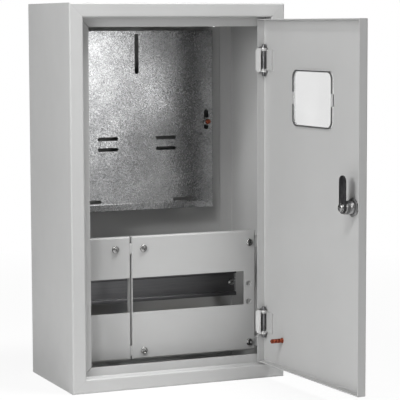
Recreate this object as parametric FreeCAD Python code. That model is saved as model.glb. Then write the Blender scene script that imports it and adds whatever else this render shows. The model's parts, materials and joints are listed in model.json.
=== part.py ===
import FreeCAD, Part
import os
from math import cos, pi, radians, sin, sqrt, tan

from FreeCAD import Vector

# Electric meter box for wall mounting: a folded steel case with a door in a rebated front,
# a slotted meter plate in the upper half, and a 35 mm rail behind two screwed covers below.
# Millimetres. X runs right, Y runs back into the wall, Z runs up.
# The origin is the middle of the four wall holes, on the outer face of the back panel.

# Case
BOX_WIDTH = 300.0
BOX_HEIGHT = 500.0
BOX_DEPTH = 170.0
SHEET = 1.2
BEND = 1.0
FRONT_FLANGE = 18.5
REBATE_DEPTH = 15.0
LEDGE = 12.0
REAR_FLANGE = 19.0
MITRE_GAP = 0.5

# Wall holes, in the strip between the rear flange and the meter plate
WALL_HOLE_INSET_X = 27.5
WALL_HOLE_INSET_Z = 28.0
WALL_HOLE_RADIUS = 3.5

# Cable knock-outs in the top and the bottom
KNOCKOUT_COUNT = 3
KNOCKOUT_PITCH = 80.0
KNOCKOUT_RADIUS = 14.5
KNOCKOUT_SLIT = 0.8
KNOCKOUT_TAB = 3.0

# Door
DOOR_GAP = 2.5
DOOR_DEPTH = 12.0
DOOR_OPEN_ANGLE = 93.0
PIN_INSET = 6.5
PIN_DEPTH = 5.5

# Hinges
HINGE_FROM_END = 75.0
HINGE_SHEET = 1.5
HINGE_BEND = 0.5
HINGE_HEIGHT = 31.0
HINGE_WEB_OFFSET = 7.0
HINGE_TAB_REACH = 14.0
HINGE_TAB_HEIGHT = 26.0
HINGE_EYE_RADIUS = 4.0
HINGE_PLATE_LENGTH = 17.5
HINGE_SLOT_MARGIN = 2.0
PIN_RADIUS = 2.5
PIN_EDGE = 0.8
PIN_GROOVE_RADIUS = 2.0
PIN_END = 5.5
CLIP_MOUTH = 3.5
CLIP_RADIUS = 4.0
CLIP_THICKNESS = 0.8
TIGHT_FIT = 0.03
PIVOT_FIT = 0.08
SLIDE_GAP = 0.3

# Window
WINDOW_WIDTH = 100.0
WINDOW_HEIGHT = 73.0
WINDOW_FROM_TOP = 122.0
WINDOW_CORNER = 11.0
WINDOW_LIP = 3.0
WINDOW_PANE = 1.6
WINDOW_RIM = 2.0
WINDOW_RIM_DEPTH = 2.4
WINDOW_FIT = 0.3
SNAP_LENGTH = 16.0
SNAP_REACH = 1.8

# Cam lock
LOCK_FROM_EDGE = 28.5
LOCK_RISE = 0.0
LOCK_BODY_RADIUS = 8.4
LOCK_FLANGE_RADIUS = 11.0
LOCK_FLANGE_THICKNESS = 2.5
LOCK_FLANGE_EDGE = 1.0
LOCK_WASHER_RADIUS = 10.6
LOCK_WASHER_THICKNESS = 1.0
LOCK_NUT_FLATS = 21.0
LOCK_NUT_ROUND_RADIUS = 11.6
LOCK_NUT_THICKNESS = 3.0
PLUG_RADIUS = 6.0
PLUG_COLLAR_RADIUS = 7.5
PLUG_COLLAR_THICKNESS = 0.7
KEYWAY_WIDTH = 1.8
KEYWAY_HEIGHT = 7.5
KEYWAY_DEPTH = 9.0
PLUG_SQUARE = 7.0
CAM_LENGTH = 39.5
CAM_WIDTH = 14.5
CAM_THICKNESS = 2.0
CAM_GAP = 0.4

# Meter plate
PLATE_SHEET = 1.0
PLATE_SIDE_GAP = 35.7
PLATE_FROM_TOP = 36.2
PLATE_ABOVE_COVERS = 31.5
PLATE_STAND = 16.0
PLATE_LIP = 9.0
PLATE_LIP_BEND = 3.0
PLATE_LIP_ANGLE = 22.0
TOP_SLOT_BELOW_EDGE = 31.6
TOP_SLOT_LENGTH = 55.0
TOP_SLOT_WIDTH = 6.0
METER_SLOT_X = 42.7
METER_SLOT_SHARE = 0.38
METER_SLOT_PITCH = 14.7
METER_SLOT_LENGTH = 30.0
METER_SLOT_WIDTH = 5.0
LOWER_SLOT_X = 67.6
LOWER_SLOT_RISE = 4.4
STUD_SLOT_INSET = 10.5
STUD_SLOT_SHARE = 0.48
STUD_SLOT_LENGTH = 28.0
STUD_SLOT_WIDTH = 7.0
PLATE_STUD_DROP = 2.7

# Studs, nuts and screws
STUD_RADIUS = 3.0
STUD_BASE_RADIUS = 3.7
STUD_BASE_THICKNESS = 0.8
PLATE_STUD_LENGTH = 26.0
DOOR_STUD_LENGTH = 17.0
CASE_STUD_LENGTH = 22.0
DOOR_STUD_FROM_HINGE = 50.0
DOOR_STUD_FROM_BOTTOM = 35.5
NUT_FLATS = 10.0
NUT_THICKNESS = 5.0
WASHER_RADIUS = 6.0
WASHER_THICKNESS = 1.2
HOLE_FIT = 0.1
SCREW_RADIUS = 2.5
SCREW_HEAD_RADIUS = 4.8
SCREW_HEAD_HEIGHT = 3.0
SCREW_LENGTH = 12.0
SCREW_EDGE = 1.8
STUD_EDGE = 0.6
DRIVE_WIDTH = 1.4
DRIVE_DEPTH = 1.6
DRIVE_ARM = 2.6

# Rail for modular devices
RAIL_HEIGHT = 35.0
RAIL_HAT = 27.0
RAIL_DEPTH = 7.5
RAIL_SHEET = 1.0
RAIL_END_GAP = 28.0
RAIL_FRONT = 77.0
MODULE_FROM_BOTTOM = 116.8
RAIL_SCREW_INSET = 5.2
BRACKET_SHEET = 1.5
BRACKET_HEIGHT = 30.0
BRACKET_FOOT = 14.0
BRACKET_HEAD = 15.0

# Covers over the modular devices
COVER_SHEET = 1.0
COVER_FRONT = 44.0
COVER_TOP_FROM_BOTTOM = 194.5
COVER_FROM_BOTTOM = 31.0
COVER_FLANGE = 9.0
COVER_OUTER_GAP = 22.0
LEFT_COVER_WIDTH = 74.5
COVER_SPLIT_GAP = 2.0
MODULE_OPENING_HEIGHT = 46.0
LEFT_OPENING_WIDTH = 54.4
RIGHT_OPENING_MARGIN = 17.0
UPPER_SCREW_INSET = 16.0
LOWER_SCREW_INSET = 11.0
COVER_SIDE_SCREW_INSET = 9.0
COVER_MIDDLE_SCREW_INSET = 16.5
LEFT_COVER_SCREW_INSET = 20.8
SUPPORT_HEIGHT = 15.0
SUPPORT_DEPTH = 12.0
SUPPORT_GAP = 1.0
SEAL_MARK_RADIUS = 3.3
SEAL_MARK_DEPTH = 1.8
SEAL_MARK_WALL = 0.7
SEAL_MARK_INSET = 9.8
SEAL_MARK_OFFSETS = (5.2, -19.3)

# Neutral and earth bars, low down behind the covers
BAR_SHARE = 0.3
BAR_HEIGHT = 9.0
BAR_DEPTH = 7.0
BAR_FROM_BOTTOM = 60.0
BAR_STAND = 28.0
BAR_POST_SIZE = 14.0
BAR_POST_INSET = 8.0
EARTH_STAND = 12.0
BAR_WAY_COUNT = 8
BAR_WIRE_RADIUS = 2.8
BAR_SCREW_RADIUS = 2.2
BAR_SCREW_HEAD_RADIUS = 3.2
BAR_SCREW_HEAD_HEIGHT = 2.0
BAR_SCREW_LENGTH = 3.4
BAR_DRIVE_WIDTH = 0.7
BAR_DRIVE_DEPTH = 1.0
BAR_WAY_MARGIN = 16.0
CASE_STUD_INSET = 34.0
CASE_STUD_GAP = 11.0

# Planes and axes worked out from the sizes above
FRONT = -BOX_DEPTH
LEDGE_FRONT = FRONT + REBATE_DEPTH
LEDGE_REAR = LEDGE_FRONT + SHEET
WALL_INSIDE_X = BOX_WIDTH / 2 - SHEET
BACK_INSIDE = -SHEET
OPENING_HALF_WIDTH = BOX_WIDTH / 2 - FRONT_FLANGE
OPENING_HALF_HEIGHT = BOX_HEIGHT / 2 - FRONT_FLANGE
DOOR_HALF_WIDTH = OPENING_HALF_WIDTH - DOOR_GAP
DOOR_HALF_HEIGHT = OPENING_HALF_HEIGHT - DOOR_GAP
PIVOT_X = DOOR_HALF_WIDTH - PIN_INSET
PIVOT_Y = FRONT + PIN_DEPTH
HINGE_ZS = (BOX_HEIGHT / 2 - HINGE_FROM_END, -BOX_HEIGHT / 2 + HINGE_FROM_END)
DOOR_SKIN_INSIDE = FRONT + SHEET
DOOR_STUD_X = DOOR_HALF_WIDTH - DOOR_STUD_FROM_HINGE
DOOR_STUD_Z = -DOOR_HALF_HEIGHT + DOOR_STUD_FROM_BOTTOM
LOCK_X = -DOOR_HALF_WIDTH + LOCK_FROM_EDGE
WINDOW_RISE = BOX_HEIGHT / 2 - WINDOW_FROM_TOP
CAM_FRONT = LEDGE_REAR + CAM_GAP
COVER_FACE = FRONT + COVER_FRONT
COVER_INSIDE = COVER_FACE + COVER_SHEET
COVER_HALF_SPAN = BOX_WIDTH / 2 - COVER_OUTER_GAP
COVER_TOP = -BOX_HEIGHT / 2 + COVER_TOP_FROM_BOTTOM
COVER_BOTTOM = -BOX_HEIGHT / 2 + COVER_FROM_BOTTOM
SPLIT_LEFT = -COVER_HALF_SPAN + LEFT_COVER_WIDTH
SPLIT_RIGHT = SPLIT_LEFT + COVER_SPLIT_GAP
UPPER_SCREW_Z = COVER_TOP - UPPER_SCREW_INSET
LOWER_SCREW_Z = COVER_BOTTOM + LOWER_SCREW_INSET
MODULE_CENTRE_Z = -BOX_HEIGHT / 2 + MODULE_FROM_BOTTOM
SEAL_MARK_X = COVER_HALF_SPAN - SEAL_MARK_INSET
PLATE_FRONT = -PLATE_STAND
PLATE_WIDTH = BOX_WIDTH - 2 * PLATE_SIDE_GAP
PLATE_TOP = BOX_HEIGHT / 2 - PLATE_FROM_TOP
PLATE_BOTTOM = COVER_TOP + PLATE_ABOVE_COVERS
PLATE_HEIGHT = PLATE_TOP - PLATE_BOTTOM
UPPER_METER_SLOT_Z = PLATE_BOTTOM + METER_SLOT_SHARE * PLATE_HEIGHT
STUD_SLOT_X = PLATE_WIDTH / 2 - STUD_SLOT_INSET
STUD_SLOT_Z = PLATE_BOTTOM + STUD_SLOT_SHARE * PLATE_HEIGHT
PLATE_STUD_Z = STUD_SLOT_Z - PLATE_STUD_DROP
RAIL_LENGTH = BOX_WIDTH - 2 * RAIL_END_GAP
RAIL_CROWN_FRONT = -RAIL_FRONT + RAIL_DEPTH - RAIL_SHEET
RAIL_CROWN_REAR = -RAIL_FRONT + RAIL_DEPTH
RAIL_SCREW_X = RAIL_LENGTH / 2 - RAIL_SCREW_INSET
BAR_LENGTH = BAR_SHARE * BOX_WIDTH
BAR_Z = -BOX_HEIGHT / 2 + BAR_FROM_BOTTOM
CASE_STUD_X = BOX_WIDTH / 2 - CASE_STUD_INSET
BAR_CENTRE_X = CASE_STUD_X - CASE_STUD_GAP - BAR_LENGTH / 2
BIG = 1000.0


def box(x0, x1, y0, y1, z0, z1):
    return Part.makeBox(x1 - x0, y1 - y0, z1 - z0, Vector(x0, y0, z0))


def disc(x, y, z, radius, length):
    """Cylinder along +Y, starting at y."""
    return Part.makeCylinder(radius, length, Vector(x, y, z), Vector(0, 1, 0))


def upright(x, y, z, radius, length):
    """Cylinder along +Z, starting at z."""
    return Part.makeCylinder(radius, length, Vector(x, y, z), Vector(0, 0, 1))


def prism(points, direction):
    wire = Part.makePolygon(list(points) + [points[0]])
    return Part.Face(wire).extrude(direction)


def hexagon(x, y, z, flats, length):
    """Hexagonal prism along +Y, with two corners on the vertical."""
    radius = flats / sqrt(3)
    points = [Vector(x + radius * sin(k * pi / 3), y, z + radius * cos(k * pi / 3)) for k in range(6)]
    return prism(points, Vector(0, length, 0))


def slot(x, z, length, width, front, rear, vertical=False):
    """Round-ended slot through the planes front..rear."""
    half = (length - width) / 2
    dx, dz = (0, half) if vertical else (half, 0)
    wide, tall = (width / 2, half) if vertical else (half, width / 2)
    shape = box(x - wide, x + wide, front, rear, z - tall, z + tall)
    for side in (-1, 1):
        shape = shape.fuse(disc(x + side * dx, front, z + side * dz, width / 2, rear - front))
    return shape.removeSplitter()


def rounded_block(x, z, width, height, corner, front, rear):
    """Block along Y with round corners seen from the front."""
    shape = box(x - width / 2, x + width / 2, front, rear, z - height / 2, z + height / 2)
    corners = [e for e in shape.Edges if abs(e.Vertexes[0].Y - e.Vertexes[-1].Y) > (rear - front) / 2]
    return shape.makeFillet(corner, corners)


def join(shapes):
    first = shapes[0]
    return first.fuse(shapes[1:]).removeSplitter() if len(shapes) > 1 else first


def strip(points, thickness, bend, to_world, along):
    """Folded sheet: mid-line points of its section, an inside bend radius, extruded along a vector."""
    mid_radius = bend + thickness / 2
    flat = [Vector(a, b, 0) for a, b in points]
    legs = [(q - p).normalize() for p, q in zip(flat, flat[1:])]
    normals = [Vector(-d.y, d.x, 0) for d in legs]
    sides = []
    for side in (thickness / 2, -thickness / 2):
        edges = []
        start = flat[0] + normals[0] * side
        for k in range(1, len(flat) - 1):
            turn = legs[k - 1].x * legs[k].y - legs[k - 1].y * legs[k].x
            sign = 1 if turn > 0 else -1
            setback = mid_radius * tan(legs[k - 1].getAngle(legs[k]) / 2)
            arc_start = flat[k] - legs[k - 1] * setback
            arc_end = flat[k] + legs[k] * setback
            centre = arc_start + normals[k - 1] * (sign * mid_radius)
            middle = centre + (flat[k] - centre).normalize() * (mid_radius - sign * side)
            a = arc_start + normals[k - 1] * side
            b = arc_end + normals[k] * side
            edges.append((start, a))
            edges.append((a, middle, b))
            start = b
        edges.append((start, flat[-1] + normals[-1] * side))
        sides.append(edges)
    left, right = sides
    loop = left + [(left[-1][-1], right[-1][-1])] + right + [(left[0][0], right[0][0])]
    curves = []
    for edge in loop:
        world = [to_world(p.x, p.y) for p in edge]
        curve = Part.makeLine(*world) if len(world) == 2 else Part.Arc(*world).toShape()
        curves.append(curve)
    wire = Part.Wire(Part.__sortEdges__(curves))
    return Part.Face(wire).extrude(along)


def folded_ring(points, thickness, bend, x_mid, z_mid, half_width, half_height, reach):
    """Four mitred strips around a rectangle. Section points are (distance in from the edge, Y)."""
    sides = []
    for out_x, out_z in ((0, 1), (0, -1), (1, 0), (-1, 0)):
        half_out = half_height if out_z else half_width
        half_along = half_width if out_z else half_height
        outward = Vector(out_x, 0, out_z)
        along = Vector(abs(out_z), 0, abs(out_x))
        centre = Vector(x_mid, 0, z_mid)
        start = centre - along * half_along

        def to_world(inset, y):
            return start + outward * (half_out - inset) + Vector(0, y, 0)

        side = strip(points, thickness, bend, to_world, along * (2 * half_along))
        outer = centre + outward * half_out + Vector(0, -BIG / 2, 0)
        inner = centre + outward * (half_out - reach) + Vector(0, -BIG / 2, 0)
        wedge = prism([outer - along * half_along, outer + along * half_along,
                       inner + along * (half_along - reach), inner - along * (half_along - reach)],
                      Vector(0, BIG, 0))
        sides.append(side.common(wedge))
    return join(sides)


def pan_screw(x, face, z, length):
    """Cross-recess pan-head screw along +Y, its head in front of the plane face."""
    head = disc(x, face - SCREW_HEAD_HEIGHT, z, SCREW_HEAD_RADIUS, SCREW_HEAD_HEIGHT)
    rim = [e for e in head.Edges if e.Closed and abs(e.CenterOfMass.y - face + SCREW_HEAD_HEIGHT) < 0.01]
    head = head.makeFillet(SCREW_EDGE, rim)
    half = DRIVE_WIDTH / 2
    front = face - SCREW_HEAD_HEIGHT
    recess = box(x - DRIVE_ARM, x + DRIVE_ARM, front, front + DRIVE_DEPTH, z - half, z + half)
    recess = recess.fuse(box(x - half, x + half, front, front + DRIVE_DEPTH, z - DRIVE_ARM, z + DRIVE_ARM))
    return head.fuse(disc(x, face, z, SCREW_RADIUS, length)).cut(recess)


def weld_stud(x, base, z, length, direction):
    """Threaded stud with its welding base on the plane base; direction is +1 or -1 along Y."""
    axis = Vector(0, direction, 0)
    origin = Vector(x, base, z)
    shank = Part.makeCylinder(STUD_RADIUS, length, origin, axis)
    tip = [e for e in shank.Edges if e.Closed and abs(e.CenterOfMass.y - base) > length / 2]
    shank = shank.makeChamfer(STUD_EDGE, tip)
    return shank.fuse(Part.makeCylinder(STUD_BASE_RADIUS, STUD_BASE_THICKNESS, origin, axis))


def nut(x, face, z):
    """Hexagon nut in front of the plane face."""
    body = hexagon(x, face - NUT_THICKNESS, z, NUT_FLATS, NUT_THICKNESS)
    return body.cut(disc(x, face - NUT_THICKNESS, z, STUD_RADIUS + HOLE_FIT, NUT_THICKNESS))


def washer(x, face, z, radius, hole, thickness):
    """Flat washer in front of the plane face."""
    start = face - thickness
    return disc(x, start, z, radius, thickness).cut(disc(x, start, z, hole, thickness))


def open_door(shape):
    """Turn a piece of the closed door to where the door stands open."""
    turned = shape.copy()
    turned.rotate(Vector(PIVOT_X, PIVOT_Y, 0), Vector(0, 0, 1), DOOR_OPEN_ANGLE)
    return turned


def knockout(x, z0, z1):
    """Ring slit of one cable knock-out, held by two tabs."""
    y = -BOX_DEPTH / 2
    ring = upright(x, y, z0, KNOCKOUT_RADIUS, z1 - z0)
    ring = ring.cut(upright(x, y, z0, KNOCKOUT_RADIUS - KNOCKOUT_SLIT, z1 - z0))
    tab = box(x - KNOCKOUT_RADIUS, x + KNOCKOUT_RADIUS, y - KNOCKOUT_TAB / 2, y + KNOCKOUT_TAB / 2, z0, z1)
    return ring.cut(tab)


def enclosure_shell():
    mid = SHEET / 2
    rear = BACK_INSIDE - mid
    section = [(REAR_FLANGE, rear), (mid, rear), (mid, FRONT + mid), (FRONT_FLANGE - mid, FRONT + mid),
               (FRONT_FLANGE - mid, LEDGE_FRONT + mid), (FRONT_FLANGE + LEDGE, LEDGE_FRONT + mid)]
    reach = FRONT_FLANGE + LEDGE + SHEET
    shell = folded_ring(section, SHEET, BEND, 0, 0, BOX_WIDTH / 2, BOX_HEIGHT / 2, reach)
    return shell.cut(ledge_mitres()).cut(knockouts())


def ledge_mitres():
    """Open mitres at the four corners of the rebate and its ledge."""
    start = FRONT_FLANGE - 2 * SHEET
    length = (LEDGE + 3 * SHEET) * sqrt(2)
    slits = []
    for side_x, side_z in ((-1, -1), (-1, 1), (1, -1), (1, 1)):
        slit = box(0, length, FRONT + 2 * SHEET, LEDGE_REAR + SHEET, -MITRE_GAP / 2, MITRE_GAP / 2)
        angle = {(-1, -1): -45, (-1, 1): 45, (1, -1): 225, (1, 1): 135}[side_x, side_z]
        slit.rotate(Vector(), Vector(0, 1, 0), angle)
        slit.translate(Vector(side_x * (BOX_WIDTH / 2 - start), 0, side_z * (BOX_HEIGHT / 2 - start)))
        slits.append(slit)
    return Part.makeCompound(slits)


def knockouts():
    rings = []
    for k in range(KNOCKOUT_COUNT):
        x = (k - (KNOCKOUT_COUNT - 1) / 2) * KNOCKOUT_PITCH
        for side in (-1, 1):
            z = side * (BOX_HEIGHT / 2 - SHEET / 2)
            rings.append(knockout(x, z - SHEET, z + SHEET))
    return Part.makeCompound(rings)


def back_panel():
    inset = SHEET + BEND
    half_width = BOX_WIDTH / 2 - inset
    half_height = BOX_HEIGHT / 2 - inset
    panel = box(-half_width, half_width, BACK_INSIDE, 0, -half_height, half_height)
    for side_x in (-1, 1):
        for side_z in (-1, 1):
            panel = panel.cut(disc(side_x * (BOX_WIDTH / 2 - WALL_HOLE_INSET_X), BACK_INSIDE,
                                   side_z * (BOX_HEIGHT / 2 - WALL_HOLE_INSET_Z), WALL_HOLE_RADIUS, SHEET))
    return panel


def meter_plate():
    mid = PLATE_SHEET / 2
    half = PLATE_WIDTH / 2
    face = PLATE_FRONT + mid
    legs = [(-half + mid, BACK_INSIDE), (-half + mid, face), (half - mid, face), (half - mid, BACK_INSIDE)]
    plate = strip(legs, PLATE_SHEET, BEND, lambda x, y: Vector(x, y, PLATE_BOTTOM),
                  Vector(0, 0, PLATE_HEIGHT))
    tilt = radians(PLATE_LIP_ANGLE)
    lip = [(face, PLATE_BOTTOM + PLATE_LIP), (face, PLATE_BOTTOM),
           (face - PLATE_LIP * sin(tilt), PLATE_BOTTOM - PLATE_LIP * cos(tilt))]
    lip_half = half - PLATE_SHEET - BEND
    plate = plate.fuse(strip(lip, PLATE_SHEET, PLATE_LIP_BEND, lambda y, z: Vector(-lip_half, y, z),
                             Vector(2 * lip_half, 0, 0)))
    front = PLATE_FRONT - PLATE_SHEET
    rear = PLATE_FRONT + 2 * PLATE_SHEET
    holes = [slot(0, PLATE_TOP - TOP_SLOT_BELOW_EDGE, TOP_SLOT_LENGTH, TOP_SLOT_WIDTH,
                  front, rear, vertical=True)]
    level_slots = [(METER_SLOT_X, UPPER_METER_SLOT_Z), (METER_SLOT_X, UPPER_METER_SLOT_Z - METER_SLOT_PITCH),
                   (LOWER_SLOT_X, PLATE_BOTTOM + LOWER_SLOT_RISE)]
    for side in (-1, 1):
        for x, z in level_slots:
            holes.append(slot(side * x, z, METER_SLOT_LENGTH, METER_SLOT_WIDTH, front, rear))
        holes.append(slot(side * STUD_SLOT_X, STUD_SLOT_Z, STUD_SLOT_LENGTH, STUD_SLOT_WIDTH,
                          front, rear, vertical=True))
    return plate.removeSplitter().cut(Part.makeCompound(holes))


def plate_studs():
    return [weld_stud(side * STUD_SLOT_X, BACK_INSIDE, PLATE_STUD_Z, PLATE_STUD_LENGTH, -1)
            for side in (-1, 1)]


def plate_washers():
    return [washer(side * STUD_SLOT_X, PLATE_FRONT, PLATE_STUD_Z, WASHER_RADIUS, STUD_RADIUS + HOLE_FIT,
                   WASHER_THICKNESS) for side in (-1, 1)]


def plate_nuts():
    return [nut(side * STUD_SLOT_X, PLATE_FRONT - WASHER_THICKNESS, PLATE_STUD_Z) for side in (-1, 1)]


def din_rail():
    mid = RAIL_SHEET / 2
    brim = -RAIL_FRONT + mid
    crown = RAIL_CROWN_FRONT + mid
    half = RAIL_HEIGHT / 2
    hat = RAIL_HAT / 2 - mid
    section = [(brim, half), (brim, hat), (crown, hat), (crown, -hat), (brim, -hat), (brim, -half)]
    rail = strip(section, RAIL_SHEET, RAIL_SHEET / 2,
                 lambda y, z: Vector(-RAIL_LENGTH / 2, y, MODULE_CENTRE_Z + z), Vector(RAIL_LENGTH, 0, 0))
    for side in (-1, 1):
        rail = rail.cut(disc(side * RAIL_SCREW_X, RAIL_CROWN_FRONT, MODULE_CENTRE_Z,
                             SCREW_RADIUS + HOLE_FIT, RAIL_SHEET))
    return rail


def rail_bracket(side):
    """Z-shaped stand from the back panel to the crown of the rail."""
    mid = BRACKET_SHEET / 2
    foot = BACK_INSIDE - mid
    head = RAIL_CROWN_REAR + mid
    web = RAIL_SCREW_X - BRACKET_HEAD / 2
    section = [(side * (web - BRACKET_FOOT), foot), (side * web, foot), (side * web, head),
               (side * (web + BRACKET_HEAD), head)]
    bracket = strip(section, BRACKET_SHEET, BEND,
                    lambda x, y: Vector(x, y, MODULE_CENTRE_Z - BRACKET_HEIGHT / 2),
                    Vector(0, 0, BRACKET_HEIGHT))
    return bracket.cut(disc(side * RAIL_SCREW_X, RAIL_CROWN_REAR, MODULE_CENTRE_Z,
                            SCREW_RADIUS + HOLE_FIT, BRACKET_SHEET))


def rail_screws():
    return [pan_screw(side * RAIL_SCREW_X, RAIL_CROWN_FRONT, MODULE_CENTRE_Z, SCREW_LENGTH)
            for side in (-1, 1)]


def cover_screw_places():
    """(x, z) of each cover screw, first those of the left cover."""
    outer = COVER_HALF_SPAN - COVER_SIDE_SCREW_INSET
    left = [(SPLIT_LEFT - LEFT_COVER_SCREW_INSET, UPPER_SCREW_Z), (-outer, LOWER_SCREW_Z)]
    right = [(x, z) for x in (SPLIT_RIGHT + COVER_MIDDLE_SCREW_INSET, outer)
             for z in (UPPER_SCREW_Z, LOWER_SCREW_Z)]
    return left, right


def cover(x0, x1, opening_x0, opening_x1, screw_places, seal_marks):
    """Flanged cover with a module opening; its side flanges stop short of the two supports."""
    mid = COVER_SHEET / 2
    height = COVER_TOP - COVER_BOTTOM
    width = x1 - x0
    x_mid = (x0 + x1) / 2
    z_mid = (COVER_TOP + COVER_BOTTOM) / 2
    edge = COVER_FLANGE + 2 * COVER_SHEET
    section = [(mid, COVER_FACE + COVER_FLANGE), (mid, COVER_FACE + mid), (edge, COVER_FACE + mid)]
    shape = folded_ring(section, COVER_SHEET, BEND, x_mid, z_mid, width / 2, height / 2, edge)
    shape = shape.fuse(box(x0 + edge / 2, x1 - edge / 2, COVER_FACE, COVER_INSIDE,
                           COVER_BOTTOM + edge / 2, COVER_TOP - edge / 2)).removeSplitter()
    for support_z in (UPPER_SCREW_Z, LOWER_SCREW_Z):
        half = SUPPORT_HEIGHT / 2 + SUPPORT_GAP
        shape = shape.cut(box(x0 - SUPPORT_GAP, x1 + SUPPORT_GAP, COVER_INSIDE,
                              COVER_INSIDE + SUPPORT_DEPTH, support_z - half, support_z + half))
    half = MODULE_OPENING_HEIGHT / 2
    shape = shape.cut(box(opening_x0, opening_x1, COVER_FACE - SHEET, COVER_INSIDE + SHEET,
                          MODULE_CENTRE_Z - half, MODULE_CENTRE_Z + half))
    for x, z in screw_places:
        shape = shape.cut(disc(x, COVER_FACE, z, SCREW_RADIUS + HOLE_FIT, COVER_SHEET))
    for offset in seal_marks:
        z = MODULE_CENTRE_Z + offset
        cup = disc(SEAL_MARK_X, COVER_FACE, z, SEAL_MARK_RADIUS + SEAL_MARK_WALL,
                   SEAL_MARK_DEPTH + SEAL_MARK_WALL)
        shape = shape.fuse(cup).cut(disc(SEAL_MARK_X, COVER_FACE, z, SEAL_MARK_RADIUS, SEAL_MARK_DEPTH))
    return shape


def left_cover():
    opening_end = SPLIT_LEFT - COVER_SHEET
    return cover(-COVER_HALF_SPAN, SPLIT_LEFT, opening_end - LEFT_OPENING_WIDTH, opening_end,
                 cover_screw_places()[0], ())


def right_cover():
    opening_end = COVER_HALF_SPAN - RIGHT_OPENING_MARGIN
    return cover(SPLIT_RIGHT, COVER_HALF_SPAN, SPLIT_RIGHT + COVER_SHEET, opening_end,
                 cover_screw_places()[1], SEAL_MARK_OFFSETS)


def cover_screws():
    left, right = cover_screw_places()
    return [pan_screw(x, COVER_FACE, z, SCREW_LENGTH) for x, z in left + right]


def cover_support(z):
    """Channel from wall to wall behind the covers, with its web against them."""
    mid = SHEET / 2
    half = SUPPORT_HEIGHT / 2 - mid
    web = COVER_INSIDE + mid
    rear = COVER_INSIDE + SUPPORT_DEPTH
    section = [(rear, half), (web, half), (web, -half), (rear, -half)]
    support = strip(section, SHEET, BEND, lambda y, dz: Vector(-WALL_INSIDE_X, y, z + dz),
                    Vector(2 * WALL_INSIDE_X, 0, 0))
    left, right = cover_screw_places()
    for x, screw_z in left + right:
        if screw_z == z:
            support = support.cut(disc(x, COVER_INSIDE, z, SCREW_RADIUS + HOLE_FIT, SHEET))
    return support


def bar_way_offsets():
    pitch = (BAR_LENGTH - 2 * BAR_WAY_MARGIN) / (BAR_WAY_COUNT - 1)
    return [(k - (BAR_WAY_COUNT - 1) / 2) * pitch for k in range(BAR_WAY_COUNT)]


def terminal_bar(x_mid, stand):
    """Brass bar with a row of wire ways from below, and a fixing hole near each end."""
    rear = BACK_INSIDE - stand
    front = rear - BAR_DEPTH
    bar = box(x_mid - BAR_LENGTH / 2, x_mid + BAR_LENGTH / 2, front, rear,
              BAR_Z - BAR_HEIGHT / 2, BAR_Z + BAR_HEIGHT / 2)
    for offset in bar_way_offsets():
        x = x_mid + offset
        bar = bar.cut(upright(x, (front + rear) / 2, BAR_Z - BAR_HEIGHT / 2, BAR_WIRE_RADIUS, BAR_HEIGHT))
        bar = bar.cut(disc(x, front, BAR_Z, BAR_SCREW_RADIUS + HOLE_FIT, BAR_DEPTH / 2))
    for side in (-1, 1):
        x = x_mid + side * (BAR_LENGTH / 2 - BAR_POST_INSET)
        bar = bar.cut(disc(x, front, BAR_Z, SCREW_RADIUS + HOLE_FIT, BAR_DEPTH))
    return bar


def bar_posts(x_mid, stand):
    """Two square posts under a bar, each with the hole of its fixing screw."""
    posts = []
    half = BAR_POST_SIZE / 2
    rear = BACK_INSIDE
    for side in (-1, 1):
        x = x_mid + side * (BAR_LENGTH / 2 - BAR_POST_INSET)
        post = box(x - half, x + half, rear - stand, rear, BAR_Z - half, BAR_Z + half)
        posts.append(post.cut(disc(x, rear - stand, BAR_Z, SCREW_RADIUS + HOLE_FIT, SCREW_LENGTH)))
    return posts


def terminal_screws(x_mid, stand):
    """Wire screws and the two fixing screws of one bar."""
    front = BACK_INSIDE - stand - BAR_DEPTH
    screws = []
    for offset in bar_way_offsets():
        x = x_mid + offset
        head = disc(x, front - BAR_SCREW_HEAD_HEIGHT, BAR_Z, BAR_SCREW_HEAD_RADIUS, BAR_SCREW_HEAD_HEIGHT)
        head = head.cut(box(x - BAR_SCREW_HEAD_RADIUS, x + BAR_SCREW_HEAD_RADIUS,
                            front - BAR_SCREW_HEAD_HEIGHT, front - BAR_SCREW_HEAD_HEIGHT + BAR_DRIVE_DEPTH,
                            BAR_Z - BAR_DRIVE_WIDTH / 2, BAR_Z + BAR_DRIVE_WIDTH / 2))
        screws.append(head.fuse(disc(x, front, BAR_Z, BAR_SCREW_RADIUS, BAR_SCREW_LENGTH)))
    for side in (-1, 1):
        x = x_mid + side * (BAR_LENGTH / 2 - BAR_POST_INSET)
        screws.append(pan_screw(x, front, BAR_Z, BAR_DEPTH + SCREW_LENGTH / 2))
    return screws


def case_stud():
    return weld_stud(CASE_STUD_X, BACK_INSIDE, BAR_Z, CASE_STUD_LENGTH, -1)


def case_stud_hardware():
    """Two washers and two nuts on the earth stud of the case."""
    hole = STUD_RADIUS + HOLE_FIT
    plane = BACK_INSIDE - STUD_BASE_THICKNESS
    pieces = []
    for _ in range(2):
        pieces.append(washer(CASE_STUD_X, plane, BAR_Z, WASHER_RADIUS, hole, WASHER_THICKNESS))
        pieces.append(nut(CASE_STUD_X, plane - WASHER_THICKNESS, BAR_Z))
        plane -= WASHER_THICKNESS + NUT_THICKNESS
    return pieces


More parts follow.
